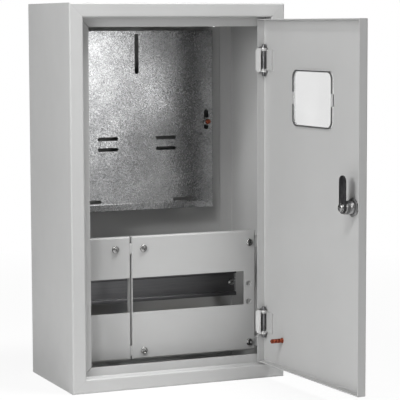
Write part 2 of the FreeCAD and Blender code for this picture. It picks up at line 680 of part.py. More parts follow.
def hinge_bracket(z):
    """Frame half of a hinge: a U whose lugs hold the pin, welded behind the ledge by its tab."""
    web_left = PIVOT_X - HINGE_WEB_OFFSET
    mid = HINGE_SHEET / 2
    rear = LEDGE_REAR + mid
    front = PIVOT_Y - PIN_RADIUS + SLIDE_GAP
    section = [(web_left + mid, front), (web_left + mid, rear), (web_left + HINGE_TAB_REACH, rear)]
    bracket = strip(section, HINGE_SHEET, HINGE_BEND,
                    lambda x, y: Vector(x, y, z - HINGE_HEIGHT / 2), Vector(0, 0, HINGE_HEIGHT))
    spare = (HINGE_HEIGHT - HINGE_TAB_HEIGHT) / 2
    for side in (-1, 1):
        edge = z + side * HINGE_HEIGHT / 2
        inner = edge - side * spare
        outline = [(LEDGE_FRONT - mid - spare, edge), (LEDGE_FRONT - mid, inner),
                   (rear + HINGE_SHEET, inner), (rear + HINGE_SHEET, edge)]
        corner = prism([Vector(web_left - mid, y, height) for y, height in outline],
                       Vector(HINGE_TAB_REACH + HINGE_SHEET, 0, 0))
        bracket = bracket.cut(corner)
    for side in (-1, 1):
        low = z + side * HINGE_HEIGHT / 2 - (HINGE_SHEET if side > 0 else 0)
        bracket = bracket.fuse(hinge_lug(low, web_left))
    for side in (-1, 1):
        low = z + side * HINGE_HEIGHT / 2 - (HINGE_SHEET if side > 0 else 0)
        bracket = bracket.cut(upright(PIVOT_X, PIVOT_Y, low, PIN_RADIUS + TIGHT_FIT, HINGE_SHEET))
    return bracket.removeSplitter()


def hinge_lug(low, x0):
    """Flat eye around the pin, reaching sideways to x0."""
    eye = upright(PIVOT_X, PIVOT_Y, low, HINGE_EYE_RADIUS, HINGE_SHEET)
    front = PIVOT_Y - PIN_RADIUS + SLIDE_GAP
    arm = box(x0, PIVOT_X, front, PIVOT_Y + HINGE_EYE_RADIUS, low, low + HINGE_SHEET)
    return eye.fuse(arm)


def door_bracket(z):
    """Door half of a hinge: a plate on the door with two lugs that turn on the pin."""
    outer = HINGE_HEIGHT / 2 - HINGE_SHEET - SLIDE_GAP
    rear = DOOR_SKIN_INSIDE + HINGE_SHEET
    clear_x = PIVOT_X - HINGE_WEB_OFFSET + HINGE_SHEET + SLIDE_GAP
    plate = box(PIVOT_X - HINGE_PLATE_LENGTH, PIVOT_X + PIN_RADIUS, DOOR_SKIN_INSIDE, rear,
                z - outer, z + outer)
    window = outer - 2 * HINGE_SHEET
    plate = plate.cut(box(PIVOT_X - PIN_RADIUS, PIVOT_X + HINGE_EYE_RADIUS, DOOR_SKIN_INSIDE, rear,
                          z - window, z + window))
    for side in (-1, 1):
        low = z + side * outer - (HINGE_SHEET if side > 0 else 0)
        eye = upright(PIVOT_X, PIVOT_Y, low, HINGE_EYE_RADIUS, HINGE_SHEET)
        arm = box(clear_x, PIVOT_X + PIN_RADIUS, DOOR_SKIN_INSIDE, PIVOT_Y, low, low + HINGE_SHEET)
        plate = plate.fuse(eye.fuse(arm))
    bore = upright(PIVOT_X, PIVOT_Y, z - outer, PIN_RADIUS + PIVOT_FIT, 2 * outer)
    return plate.cut(bore).removeSplitter()


def hinge_pins():
    """Pins with a groove at each end for a spring clip."""
    pins = []
    for z in HINGE_ZS:
        half = HINGE_HEIGHT / 2 + PIN_END
        pin = upright(PIVOT_X, PIVOT_Y, z - half, PIN_RADIUS, 2 * half)
        pin = pin.makeFillet(PIN_EDGE, [e for e in pin.Edges if e.Closed])
        for low in clip_lows(z):
            groove = upright(PIVOT_X, PIVOT_Y, low, CLIP_RADIUS, CLIP_THICKNESS)
            pin = pin.cut(groove.cut(upright(PIVOT_X, PIVOT_Y, low, PIN_GROOVE_RADIUS, CLIP_THICKNESS)))
        pins.append(pin)
    return pins


def clip_lows(z):
    """Undersides of the two clips of a hinge: the upper one rests on the bracket."""
    return z - HINGE_HEIGHT / 2 - SLIDE_GAP - CLIP_THICKNESS, z + HINGE_HEIGHT / 2


def pin_clips():
    """Open spring clips in the grooves of the hinge pins."""
    clips = []
    half = CLIP_MOUTH / 2
    for low in [low for z in HINGE_ZS for low in clip_lows(z)]:
        clip = upright(PIVOT_X, PIVOT_Y, low, CLIP_RADIUS, CLIP_THICKNESS)
        clip = clip.cut(upright(PIVOT_X, PIVOT_Y, low, PIN_GROOVE_RADIUS + TIGHT_FIT, CLIP_THICKNESS))
        mouth = box(PIVOT_X - CLIP_RADIUS, PIVOT_X, PIVOT_Y - half, PIVOT_Y + half, low, low + CLIP_THICKNESS)
        clips.append(clip.cut(mouth))
    return clips


def door_panel():
    mid = SHEET / 2
    edge = DOOR_DEPTH
    section = [(mid, FRONT + DOOR_DEPTH), (mid, FRONT + mid), (edge, FRONT + mid)]
    door = folded_ring(section, SHEET, BEND, 0, 0, DOOR_HALF_WIDTH, DOOR_HALF_HEIGHT, edge)
    inner_x = DOOR_HALF_WIDTH - edge / 2
    inner_z = DOOR_HALF_HEIGHT - edge / 2
    door = door.fuse(box(-inner_x, inner_x, FRONT, DOOR_SKIN_INSIDE, -inner_z, inner_z)).removeSplitter()
    door = door.cut(rounded_block(0, WINDOW_RISE, WINDOW_WIDTH, WINDOW_HEIGHT, WINDOW_CORNER,
                                  FRONT - SHEET, DOOR_SKIN_INSIDE + SHEET))
    door = door.cut(disc(LOCK_X, FRONT - SHEET, LOCK_RISE, LOCK_BODY_RADIUS + HOLE_FIT, 3 * SHEET))
    half = HINGE_HEIGHT / 2 + HINGE_SLOT_MARGIN
    for z in HINGE_ZS:
        door = door.cut(box(DOOR_HALF_WIDTH - 2 * SHEET, DOOR_HALF_WIDTH + SHEET,
                            DOOR_SKIN_INSIDE + BEND, FRONT + DOOR_DEPTH + SHEET, z - half, z + half))
    return open_door(door.cut(door_corner_slits()))


def door_corner_slits():
    """Open corners between the folded edges of the door."""
    half = MITRE_GAP / 2
    slits = []
    for side_x in (-1, 1):
        for side_z in (-1, 1):
            slit = box(-3 * SHEET, SHEET, DOOR_SKIN_INSIDE + BEND, FRONT + DOOR_DEPTH + SHEET, -half, half)
            angle = {(-1, -1): 135, (-1, 1): 225, (1, -1): 45, (1, 1): -45}[side_x, side_z]
            slit.rotate(Vector(), Vector(0, 1, 0), angle)
            slit.translate(Vector(side_x * DOOR_HALF_WIDTH, 0, side_z * DOOR_HALF_HEIGHT))
            slits.append(slit)
    return Part.makeCompound(slits)


def window_pane():
    """Clear pane pushed in from outside: a lip over the edge, a rim through it and two snap lugs."""
    width = WINDOW_WIDTH - 2 * WINDOW_FIT
    height = WINDOW_HEIGHT - 2 * WINDOW_FIT
    corner = WINDOW_CORNER - WINDOW_FIT
    rear = DOOR_SKIN_INSIDE + WINDOW_RIM_DEPTH
    pane = rounded_block(0, WINDOW_RISE, WINDOW_WIDTH + 2 * WINDOW_LIP, WINDOW_HEIGHT + 2 * WINDOW_LIP,
                         WINDOW_CORNER + WINDOW_LIP, FRONT - WINDOW_PANE, FRONT)
    rim = rounded_block(0, WINDOW_RISE, width, height, corner, FRONT, rear)
    rim = rim.cut(rounded_block(0, WINDOW_RISE, width - 2 * WINDOW_RIM, height - 2 * WINDOW_RIM,
                                corner - WINDOW_RIM, FRONT, rear))
    pane = pane.fuse(rim)
    for side in (-1, 1):
        foot = side * (width / 2 - WINDOW_RIM / 2)
        tip = side * (WINDOW_WIDTH / 2 + SNAP_REACH)
        z = WINDOW_RISE - SNAP_LENGTH / 2
        seat = DOOR_SKIN_INSIDE + HOLE_FIT
        lug = prism([Vector(foot, seat, z), Vector(tip, seat, z), Vector(foot, rear, z)],
                    Vector(0, 0, SNAP_LENGTH))
        pane = pane.fuse(lug)
    return open_door(pane.removeSplitter())


def lock_body():
    start = FRONT - LOCK_FLANGE_THICKNESS
    flange = disc(LOCK_X, start, LOCK_RISE, LOCK_FLANGE_RADIUS, LOCK_FLANGE_THICKNESS)
    rim = [e for e in flange.Edges if e.Closed and abs(e.CenterOfMass.y - start) < 0.01]
    flange = flange.makeFillet(LOCK_FLANGE_EDGE, rim)
    body = disc(LOCK_X, FRONT, LOCK_RISE, LOCK_BODY_RADIUS, lock_body_rear() - FRONT)
    bore = disc(LOCK_X, start, LOCK_RISE, PLUG_RADIUS + PIVOT_FIT, lock_body_rear() - start)
    return open_door(flange.fuse(body).cut(bore))


def lock_body_rear():
    return CAM_FRONT - PLUG_COLLAR_THICKNESS - HOLE_FIT


def lock_washer():
    plane = DOOR_SKIN_INSIDE + LOCK_WASHER_THICKNESS
    return open_door(washer(LOCK_X, plane, LOCK_RISE, LOCK_WASHER_RADIUS, LOCK_BODY_RADIUS + HOLE_FIT,
                            LOCK_WASHER_THICKNESS))


def lock_nut():
    start = DOOR_SKIN_INSIDE + LOCK_WASHER_THICKNESS
    body = hexagon(LOCK_X, start, LOCK_RISE, LOCK_NUT_FLATS, LOCK_NUT_THICKNESS)
    round_blank = disc(LOCK_X, start, LOCK_RISE, LOCK_NUT_ROUND_RADIUS, LOCK_NUT_THICKNESS)
    hole = disc(LOCK_X, start, LOCK_RISE, LOCK_BODY_RADIUS + HOLE_FIT, LOCK_NUT_THICKNESS)
    return open_door(body.common(round_blank).cut(hole))


def lock_plug():
    """Turning core of the lock: keyway in front, collar and square at the back."""
    front = FRONT - LOCK_FLANGE_THICKNESS + HOLE_FIT
    core = disc(LOCK_X, front, LOCK_RISE, PLUG_RADIUS, CAM_FRONT - front)
    collar = disc(LOCK_X, CAM_FRONT - PLUG_COLLAR_THICKNESS, LOCK_RISE, PLUG_COLLAR_RADIUS,
                  PLUG_COLLAR_THICKNESS)
    half = PLUG_SQUARE / 2
    square = box(LOCK_X - half, LOCK_X + half, CAM_FRONT, CAM_FRONT + CAM_THICKNESS - HOLE_FIT,
                 LOCK_RISE - half, LOCK_RISE + half)
    keyway = box(LOCK_X - KEYWAY_WIDTH / 2, LOCK_X + KEYWAY_WIDTH / 2, front, front + KEYWAY_DEPTH,
                 LOCK_RISE - KEYWAY_HEIGHT / 2, LOCK_RISE + KEYWAY_HEIGHT / 2)
    thread_end = CAM_FRONT + CAM_THICKNESS - SCREW_LENGTH / 2 - HOLE_FIT
    thread = disc(LOCK_X, thread_end, LOCK_RISE, SCREW_RADIUS + HOLE_FIT, SCREW_LENGTH)
    return open_door(core.fuse([collar, square]).cut(keyway).cut(thread))


def lock_cam():
    """Flat locking arm, pointing up when unlocked."""
    reach = CAM_LENGTH - CAM_WIDTH / 2
    half = CAM_WIDTH / 2
    arm = join([disc(LOCK_X, CAM_FRONT, LOCK_RISE, half, CAM_THICKNESS),
                disc(LOCK_X, CAM_FRONT, LOCK_RISE + reach, half, CAM_THICKNESS),
                box(LOCK_X - half, LOCK_X + half, CAM_FRONT, CAM_FRONT + CAM_THICKNESS,
                    LOCK_RISE, LOCK_RISE + reach)])
    hole = PLUG_SQUARE / 2 + HOLE_FIT
    return open_door(arm.cut(box(LOCK_X - hole, LOCK_X + hole, CAM_FRONT, CAM_FRONT + CAM_THICKNESS,
                                 LOCK_RISE - hole, LOCK_RISE + hole)))


def cam_washer():
    plane = CAM_FRONT + CAM_THICKNESS + WASHER_THICKNESS
    return open_door(washer(LOCK_X, plane, LOCK_RISE, WASHER_RADIUS, SCREW_RADIUS + HOLE_FIT,
                            WASHER_THICKNESS))


def cam_screw():
    """Screw from behind through the washer into the plug."""
    plane = CAM_FRONT + CAM_THICKNESS + WASHER_THICKNESS
    screw = pan_screw(LOCK_X, plane, LOCK_RISE, WASHER_THICKNESS + SCREW_LENGTH / 2)
    screw.rotate(Vector(LOCK_X, plane, LOCK_RISE), Vector(0, 0, 1), 180)
    return open_door(screw)


def door_stud():
    return open_door(weld_stud(DOOR_STUD_X, DOOR_SKIN_INSIDE, DOOR_STUD_Z, DOOR_STUD_LENGTH, 1))


NODES = {
    "enclosure_shell": enclosure_shell,
    "back_panel": back_panel,
    "meter_plate": meter_plate,
    "plate_studs": plate_studs,
    "plate_washers": plate_washers,
    "plate_nuts": plate_nuts,
    "din_rail": din_rail,
    "rail_bracket_left": lambda: rail_bracket(-1),
    "rail_bracket_right": lambda: rail_bracket(1),
    "rail_screws": rail_screws,
    "cover_support_upper": lambda: cover_support(UPPER_SCREW_Z),
    "cover_support_lower": lambda: cover_support(LOWER_SCREW_Z),
    "left_cover": left_cover,
    "right_cover": right_cover,
    "cover_screws": cover_screws,
    "neutral_bar": lambda: terminal_bar(-BAR_CENTRE_X, BAR_STAND),
    "neutral_insulators": lambda: bar_posts(-BAR_CENTRE_X, BAR_STAND),
    "neutral_bar_screws": lambda: terminal_screws(-BAR_CENTRE_X, BAR_STAND),
    "earth_bar": lambda: terminal_bar(BAR_CENTRE_X, EARTH_STAND),
    "earth_bar_posts": lambda: bar_posts(BAR_CENTRE_X, EARTH_STAND),
    "earth_bar_screws": lambda: terminal_screws(BAR_CENTRE_X, EARTH_STAND),
    "case_earth_stud": case_stud,
    "case_earth_nuts": case_stud_hardware,
    "hinge_bracket_upper": lambda: hinge_bracket(HINGE_ZS[0]),
    "hinge_bracket_lower": lambda: hinge_bracket(HINGE_ZS[1]),
    "hinge_pins": hinge_pins,
    "pin_clips": pin_clips,
    "door_panel": door_panel,
    "door_bracket_upper": lambda: open_door(door_bracket(HINGE_ZS[0])),
    "door_bracket_lower": lambda: open_door(door_bracket(HINGE_ZS[1])),
    "window_pane": window_pane,
    "lock_body": lock_body,
    "lock_washer": lock_washer,
    "lock_nut": lock_nut,
    "lock_plug": lock_plug,
    "lock_cam": lock_cam,
    "cam_washer": cam_washer,
    "cam_screw": cam_screw,
    "door_earth_stud": door_stud,
}


def export_all():
    os.makedirs("parts", exist_ok=True)
    for name, make in NODES.items():
        made = make()
        shape = Part.makeCompound(made) if isinstance(made, list) else made
        shape.exportStep("parts/" + name + ".step")


export_all()
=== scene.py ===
import json
from math import cos, pi, radians, sin, sqrt, tan

import bmesh
import bpy
from mathutils import Matrix, Vector


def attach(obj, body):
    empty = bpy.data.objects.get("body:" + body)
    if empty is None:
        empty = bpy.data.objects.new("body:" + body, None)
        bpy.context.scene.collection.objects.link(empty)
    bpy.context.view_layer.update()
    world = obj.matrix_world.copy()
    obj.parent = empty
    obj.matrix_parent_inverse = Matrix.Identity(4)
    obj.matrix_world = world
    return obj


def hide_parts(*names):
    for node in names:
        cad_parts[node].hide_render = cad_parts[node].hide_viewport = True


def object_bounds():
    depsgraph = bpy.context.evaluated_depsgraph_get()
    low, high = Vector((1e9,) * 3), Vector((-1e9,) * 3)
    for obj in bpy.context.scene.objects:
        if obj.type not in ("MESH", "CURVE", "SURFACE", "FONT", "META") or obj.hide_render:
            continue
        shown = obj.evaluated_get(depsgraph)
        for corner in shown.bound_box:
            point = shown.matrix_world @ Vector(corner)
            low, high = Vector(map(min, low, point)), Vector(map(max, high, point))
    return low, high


# Looks of the electric meter box. Metres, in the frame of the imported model.
# X runs right, Y runs back into the wall, Z runs up. The door stands open at rest.

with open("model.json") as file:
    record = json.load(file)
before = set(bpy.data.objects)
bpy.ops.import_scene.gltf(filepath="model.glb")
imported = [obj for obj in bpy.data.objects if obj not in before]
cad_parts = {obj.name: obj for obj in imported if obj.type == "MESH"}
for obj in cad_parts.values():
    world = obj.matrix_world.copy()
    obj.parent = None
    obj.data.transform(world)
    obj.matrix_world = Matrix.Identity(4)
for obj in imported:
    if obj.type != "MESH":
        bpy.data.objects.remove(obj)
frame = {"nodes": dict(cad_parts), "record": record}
cad_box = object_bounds()

MM = 0.001

# Camera of the photograph
CAMERA_PLACE = (-0.8733, -2.2600, 0.2222)
CAMERA_YAW = 23.32
CAMERA_PITCH = 5.73
CAMERA_ROLL = -0.18
CAMERA_LENS = 157.5
CAMERA_SENSOR = 36.0
CAMERA_NEAR = 0.05

# Front flange: its face, the height of the case less its width, halved, and the seams of its corners
FLANGE_FACE = -170.0 * MM
SEAM_SHIFT = 100.0 * MM
SEAM_WIDTH = 0.5 * MM
FACE_TOLERANCE = 0.1 * MM

# Hinge line, the angle at which the door stands, and the inner face of its sheet when it is shut
PIVOT = Vector((122.5, -164.5, 0)) * MM
DOOR_ANGLE = 93.0
DOOR_INWARD = Vector((-sin(radians(DOOR_ANGLE)), cos(radians(DOOR_ANGLE)), 0))
DOOR_SKIN = -168.8 * MM

# Window: how far outward of the hinge line the tip of its rim, which gets painted shade, begins, the height
# of its middle, half a lug
RIM_TIP = 3.3 * MM
WINDOW_RISE = 128.0 * MM
LUG_HALF = 8.0 * MM

# Pressed cups of the right cover: the middles of their mouths, and from where to where the painted shade on
# their rims fades
SEAL_CUPS = [Vector((118.2, -126.0, -128.0)) * MM, Vector((118.2, -126.0, -152.5)) * MM]
CUP_RADIUS = 3.3 * MM
CUP_SHADE = (0.3 * MM, 0.8 * MM)

# Studs with their threads, and the screws, nuts and washers
CLEARANCE = 0.1 * MM
STUD_RADIUS = 3.0 * MM
STUD_PITCH = 1.0 * MM
STUD_HOLE = STUD_RADIUS + CLEARANCE
STUD_BASE_RADIUS = 3.7 * MM
STUD_BASE_HEIGHT = 0.8 * MM
THREAD_DEPTH = 0.55 * MM
SCREW_HEAD_RADIUS = 4.8 * MM
SCREW_HEAD_HEIGHT = 3.0 * MM
SCREW_RADIUS = 2.5 * MM
SCREW_LENGTH = 12.0 * MM
SCREW_HOLE = SCREW_RADIUS + CLEARANCE
WIRE_SCREW_RADIUS = 3.2 * MM
WIRE_SCREW_HEAD = 2.0 * MM
WIRE_SHANK_RADIUS = 2.2 * MM
WIRE_SHANK_LENGTH = 3.4 * MM
NUT_FLATS = 10.0 * MM
NUT_HEIGHT = 5.0 * MM
WASHER_RADIUS = 6.0 * MM
WASHER_THICKNESS = 1.2 * MM


# Material building

def node(tree, kind, **settings):
    made = tree.nodes.new(kind)
    for name, value in settings.items():
        setattr(made, name, value)
    return made


def feed(tree, target, source):
    """Joins an output to an input, or sets the input's value."""
    if isinstance(source, bpy.types.NodeSocket):
        tree.links.new(source, target)
    else:
        target.default_value = source


def new_finish(name):
    """Material with its node tree, its shader and the place on the object."""
    finish = bpy.data.materials.new(name)
    finish.use_nodes = True
    tree = finish.node_tree
    shader = tree.nodes["Principled BSDF"]
    place = node(tree, "ShaderNodeTexCoord").outputs["Object"]
    return finish, tree, shader, place


def noise(tree, place, scale, detail=2.0, roughness=0.5, colour=False):
    made = node(tree, "ShaderNodeTexNoise")
    feed(tree, made.inputs["Vector"], place)
    made.inputs["Scale"].default_value = scale
    made.inputs["Detail"].default_value = detail
    made.inputs["Roughness"].default_value = roughness
    return made.outputs["Color" if colour else "Fac"]


def cells(tree, place, scale):
    """One chance colour for each small cell of space."""
    made = node(tree, "ShaderNodeTexVoronoi")
    feed(tree, made.inputs["Vector"], place)
    made.inputs["Scale"].default_value = scale
    return made.outputs["Color"]


def spread(tree, value, low, high, from_low=0.3, from_high=0.7):
    """Maps a value from one range to another, clamped."""
    made = node(tree, "ShaderNodeMapRange")
    feed(tree, made.inputs["Value"], value)
    for name, number in (("From Min", from_low), ("From Max", from_high), ("To Min", low), ("To Max", high)):
        made.inputs[name].default_value = number
    return made.outputs["Result"]


def blend_colour(tree, share, first, second):
    made = node(tree, "ShaderNodeMix", data_type="RGBA")
    feed(tree, made.inputs[0], share)
    for slot, colour in ((6, first), (7, second)):
        feed(tree, made.inputs[slot], colour if isinstance(colour, bpy.types.NodeSocket) else (*colour, 1))
    return made.outputs[2]


def maths(tree, operation, first, second=0.0):
    made = node(tree, "ShaderNodeMath", operation=operation)
    feed(tree, made.inputs[0], first)
    feed(tree, made.inputs[1], second)
    return made.outputs[0]


def vector_maths(tree, operation, *sources):
    """Vector operation on outputs or fixed vectors. Some of them end in a plain value."""
    made = node(tree, "ShaderNodeVectorMath", operation=operation)
    for target, source in zip(made.inputs, sources):
        feed(tree, target, source)
    return made.outputs["Value" if operation in ("DISTANCE", "DOT_PRODUCT", "LENGTH") else "Vector"]


def axes(tree, place):
    """The X, Y and Z of a place."""
    parts = node(tree, "ShaderNodeSeparateXYZ")
    feed(tree, parts.inputs[0], place)
    return parts.outputs


def distance_from(tree, value, middle):
    return maths(tree, "ABSOLUTE", maths(tree, "SUBTRACT", value, middle))


def bumped(tree, height, distance, strength=1.0, under=None):
    made = node(tree, "ShaderNodeBump")
    feed(tree, made.inputs["Height"], height)
    made.inputs["Distance"].default_value = distance
    made.inputs["Strength"].default_value = strength
    if under is not None:
        tree.links.new(under, made.inputs["Normal"])
    return made.outputs["Normal"]


def stretched(tree, place, scale):
    made = node(tree, "ShaderNodeMapping")
    feed(tree, made.inputs["Vector"], place)
    made.inputs["Scale"].default_value = scale
    return made.outputs["Vector"]


# Finishes

SPECK_COLOUR = (0.385, 0.385, 0.381)
SPECK_SHARE = 0.25
# Darker colour, and its share, for the seams and for the painted shade on the rims of the cups
SEAM_AND_SHADE_COLOUR = (0.20, 0.20, 0.198)
SEAM_AND_SHADE_SHARE = 0.35
SEAM_SHARE = 0.3
CRYSTAL_WARP = 1.0 * MM
METAL_GRAIN = 0.01 * MM


def mitre_seams(tree, place):
    """Painted-over seams on the front flange, from the corners of the opening to those of the case."""
    x, y, z = axes(tree, place)
    height, width = maths(tree, "ABSOLUTE", z), maths(tree, "ABSOLUTE", x)
    aside = distance_from(tree, maths(tree, "SUBTRACT", height, width), SEAM_SHIFT)
    line = spread(tree, aside, 1.0, 0.0, SEAM_WIDTH / 2, SEAM_WIDTH)
    on_face = maths(tree, "LESS_THAN", distance_from(tree, y, FLANGE_FACE), FACE_TOLERANCE)
    return maths(tree, "MULTIPLY", line, on_face)


def painted_cup_shade(tree, place):
    """Painted shade on the rims of the two pressed cups of the right cover, as a darker colour of the paint.
    """
    rims = 0.0
    for cup in SEAL_CUPS:
        # Painted shade: a darker band of paint along each cup's rim
        aside = distance_from(tree, vector_maths(tree, "DISTANCE", place, cup), CUP_RADIUS)
        rims = maths(tree, "MAXIMUM", rims, spread(tree, aside, 1.0, 0.0, *CUP_SHADE))
    return rims


def powder_coat(name, low, high):
    """Powder coat with a fine orange peel and faint specks, darker in the seams, and with painted shade on
    the rims of the cups.
    """
    finish, tree, shader, place = new_finish(name)
    drift = noise(tree, place, scale=9.0, detail=3.0)
    colour = blend_colour(tree, spread(tree, drift, 0, 1), low, high)
    speck = spread(tree, noise(tree, place, scale=2600.0, detail=1.0), 0, 1, from_low=0.62, from_high=0.78)
    colour = blend_colour(tree, maths(tree, "MULTIPLY", speck, SPECK_SHARE), colour, SPECK_COLOUR)
    seam = maths(tree, "MULTIPLY", mitre_seams(tree, place), SEAM_SHARE)
    # The seams are darker joints; the rims of the cups get painted shade
    seams_and_cup_shade = maths(tree, "MAXIMUM", seam, painted_cup_shade(tree, place))
    colour = blend_colour(tree, maths(tree, "MULTIPLY", seams_and_cup_shade, SEAM_AND_SHADE_SHARE), colour, SEAM_AND_SHADE_COLOUR)
    feed(tree, shader.inputs["Base Color"], colour)
    feed(tree, shader.inputs["Roughness"], spread(tree, noise(tree, place, scale=40.0), 0.40, 0.47))
    shader.inputs["Specular IOR Level"].default_value = 0.45
    wave = noise(tree, place, scale=35.0, detail=1.0)
    peel = noise(tree, place, scale=620.0, detail=2.0, roughness=0.45)
    normal = bumped(tree, wave, distance=0.25 * MM, strength=0.25)
    normal = bumped(tree, peel, distance=0.04 * MM, strength=0.55, under=normal)
    normal = bumped(tree, maths(tree, "SUBTRACT", 1.0, seams_and_cup_shade), distance=0.3 * MM, under=normal)
    feed(tree, shader.inputs["Normal"], normal)
    return finish


def tilted(tree, crystal, amount):
    """Surface direction leaned by a crystal's own colour."""
    lean = vector_maths(tree, "MULTIPLY_ADD", crystal, (amount,) * 3, (-amount / 2,) * 3)
    straight = node(tree, "ShaderNodeNewGeometry").outputs["Normal"]
    return vector_maths(tree, "NORMALIZE", vector_maths(tree, "ADD", lean, straight))


def galvanised():
    """Galvanised sheet: fine crystals, each with its own tilt and brightness, and faint larger clouds."""
    finish, tree, shader, place = new_finish("galvanised_spangle")
    warp = noise(tree, place, scale=500.0, detail=2.0, colour=True)
    bent = vector_maths(tree, "MULTIPLY_ADD", warp, (CRYSTAL_WARP,) * 3, place)
    crystal = cells(tree, bent, scale=780.0)
    split = node(tree, "ShaderNodeSeparateColor")
    feed(tree, split.inputs[0], crystal)
    cloud = noise(tree, place, scale=22.0, detail=4.0, roughness=0.6)
    bright = spread(tree, cloud, 0.0, 1.0, from_low=0.35, from_high=0.68)
    pale = blend_colour(tree, bright, (0.355, 0.358, 0.362), (0.485, 0.488, 0.492))
    dark_speck = spread(tree, split.outputs[0], 0.0, 1.0, from_low=0.72, from_high=1.0)
    colour = blend_colour(tree, maths(tree, "MULTIPLY", dark_speck, 0.45), pale, (0.22, 0.222, 0.225))
    feed(tree, shader.inputs["Base Color"], colour)
    shader.inputs["Metallic"].default_value = 1.0
    roughness = spread(tree, split.outputs[1], 0.17, 0.30, from_low=0.0, from_high=1.0)
    feed(tree, shader.inputs["Roughness"], roughness)
    grain = noise(tree, place, scale=1500.0, detail=3.0)
    normal = bumped(tree, grain, METAL_GRAIN, strength=0.35, under=tilted(tree, crystal, 0.07))
    feed(tree, shader.inputs["Normal"], normal)
    return finish


def plated(name, low, high, roughness=(0.22, 0.36), grain=900.0, metallic=1.0):
    """Plated or bare metal with fine grain and cloudy colour."""
    finish, tree, shader, place = new_finish(name)
    cloud = noise(tree, place, scale=160.0, detail=3.0)
    feed(tree, shader.inputs["Base Color"], blend_colour(tree, spread(tree, cloud, 0, 1), low, high))
    shader.inputs["Metallic"].default_value = metallic
    fine = noise(tree, place, grain)
    feed(tree, shader.inputs["Roughness"], spread(tree, fine, *roughness))
    feed(tree, shader.inputs["Normal"], bumped(tree, fine, METAL_GRAIN, strength=0.5))
    return finish


def brushed(name, low, high, stretch, roughness=(0.25, 0.42)):
    """Metal with drawing lines along the axis that is stretched."""
    finish, tree, shader, place = new_finish(name)
    lines = noise(tree, stretched(tree, place, stretch), scale=560.0, detail=3.0)
    feed(tree, shader.inputs["Base Color"], blend_colour(tree, spread(tree, lines, 0, 1), low, high))
    shader.inputs["Metallic"].default_value = 1.0
    feed(tree, shader.inputs["Roughness"], spread(tree, lines, *roughness))
    feed(tree, shader.inputs["Normal"], bumped(tree, lines, METAL_GRAIN, strength=0.5))
    return finish


def moulded(name, low, high):
    """Opaque moulded plastic."""
    finish, tree, shader, place = new_finish(name)
    drift = spread(tree, noise(tree, place, scale=90.0), 0, 1)
    feed(tree, shader.inputs["Base Color"], blend_colour(tree, drift, low, high))
    feed(tree, shader.inputs["Roughness"], spread(tree, noise(tree, place, scale=500.0), 0.35, 0.5))
    grain = noise(tree, place, scale=1200.0)
    feed(tree, shader.inputs["Normal"], bumped(tree, grain, distance=0.02 * MM, strength=0.5))
    return finish


def clear_plastic():
    """Clear pane with slight flow waves, and a rim whose tip gets painted shade, dark and less clear, except
    at two paler lugs.
    """
    finish, tree, shader, place = new_finish("clear_moulded_pane")
    inward = vector_maths(tree, "DOT_PRODUCT", place, DOOR_INWARD)
    tip = maths(tree, "GREATER_THAN", inward, PIVOT.dot(DOOR_INWARD) - RIM_TIP)
    off_lugs = maths(tree, "GREATER_THAN", distance_from(tree, axes(tree, place)["Z"], WINDOW_RISE), LUG_HALF)
    waves = noise(tree, place, scale=14.0, detail=1.0)
    colour = blend_colour(tree, spread(tree, waves, 0, 1), (0.87, 0.87, 0.87), (0.94, 0.94, 0.94))
    # Painted shade: the tip of the rim is darkened, darkest away from the lugs, and lets less light through
    colour = blend_colour(tree, tip, colour, (0.45, 0.45, 0.45))
    colour = blend_colour(tree, maths(tree, "MULTIPLY", tip, off_lugs), colour, (0.07, 0.07, 0.07))
    feed(tree, shader.inputs["Base Color"], colour)
    feed(tree, shader.inputs["Roughness"], spread(tree, noise(tree, place, scale=300.0), 0.03, 0.08))
    transmission = spread(tree, tip, 1.0, 0.2, from_low=0.0, from_high=1.0)
    feed(tree, shader.inputs["Transmission Weight"], transmission)
    shader.inputs["IOR"].default_value = 1.49
    feed(tree, shader.inputs["Normal"], bumped(tree, waves, distance=0.2 * MM, strength=0.2))
    return finish


FINISHES = {
    "case_paint": powder_coat("light_grey_powder_coat", (0.445, 0.446, 0.443), (0.468, 0.469, 0.466)),
    # Painted light: the hinge brackets get the case's paint made paler, where they catch more light
    "painted_light_bracket_paint": powder_coat("painted_light_bracket_coat", (0.64, 0.64, 0.635), (0.67, 0.67, 0.665)),
    "galvanised_steel": galvanised(),
    "rolled_zinc": brushed("rolled_zinc_rail", (0.115, 0.115, 0.119), (0.145, 0.145, 0.149),
                           stretch=(0.05, 1, 1), roughness=(0.34, 0.46)),
    "zinc_plate": plated("bright_zinc_plate", (0.27, 0.27, 0.27), (0.39, 0.39, 0.38), (0.17, 0.30)),
    "spring_steel": plated("bright_spring_steel", (0.34, 0.34, 0.34), (0.50, 0.50, 0.49), (0.20, 0.34)),
    "pin_steel": plated("dark_pin_steel", (0.13, 0.13, 0.135), (0.19, 0.19, 0.195), (0.24, 0.36)),
    "copper_plate": plated("copper_plated_steel", (0.27, 0.062, 0.032), (0.40, 0.11, 0.06), (0.18, 0.34)),
    "brass": brushed("drawn_brass", (0.58, 0.42, 0.16), (0.74, 0.56, 0.26), stretch=(0.06, 1, 1)),
    "blue_insulator": moulded("blue_moulding", (0.012, 0.055, 0.22), (0.02, 0.075, 0.28)),
    "clear_pane": clear_plastic(),
    "lock_casting": plated("nickel_lock_casting", (0.23, 0.23, 0.235), (0.36, 0.36, 0.36),
                           roughness=(0.28, 0.42), grain=500.0),
    "lock_core": plated("nickel_lock_core", (0.42, 0.41, 0.39), (0.60, 0.59, 0.56),
                        roughness=(0.20, 0.32), grain=500.0),
    "dark_cam": plated("dark_passivated_cam", (0.040, 0.040, 0.042), (0.075, 0.075, 0.078),
                       roughness=(0.34, 0.5), grain=500.0, metallic=0.85),
}


# Mesh building

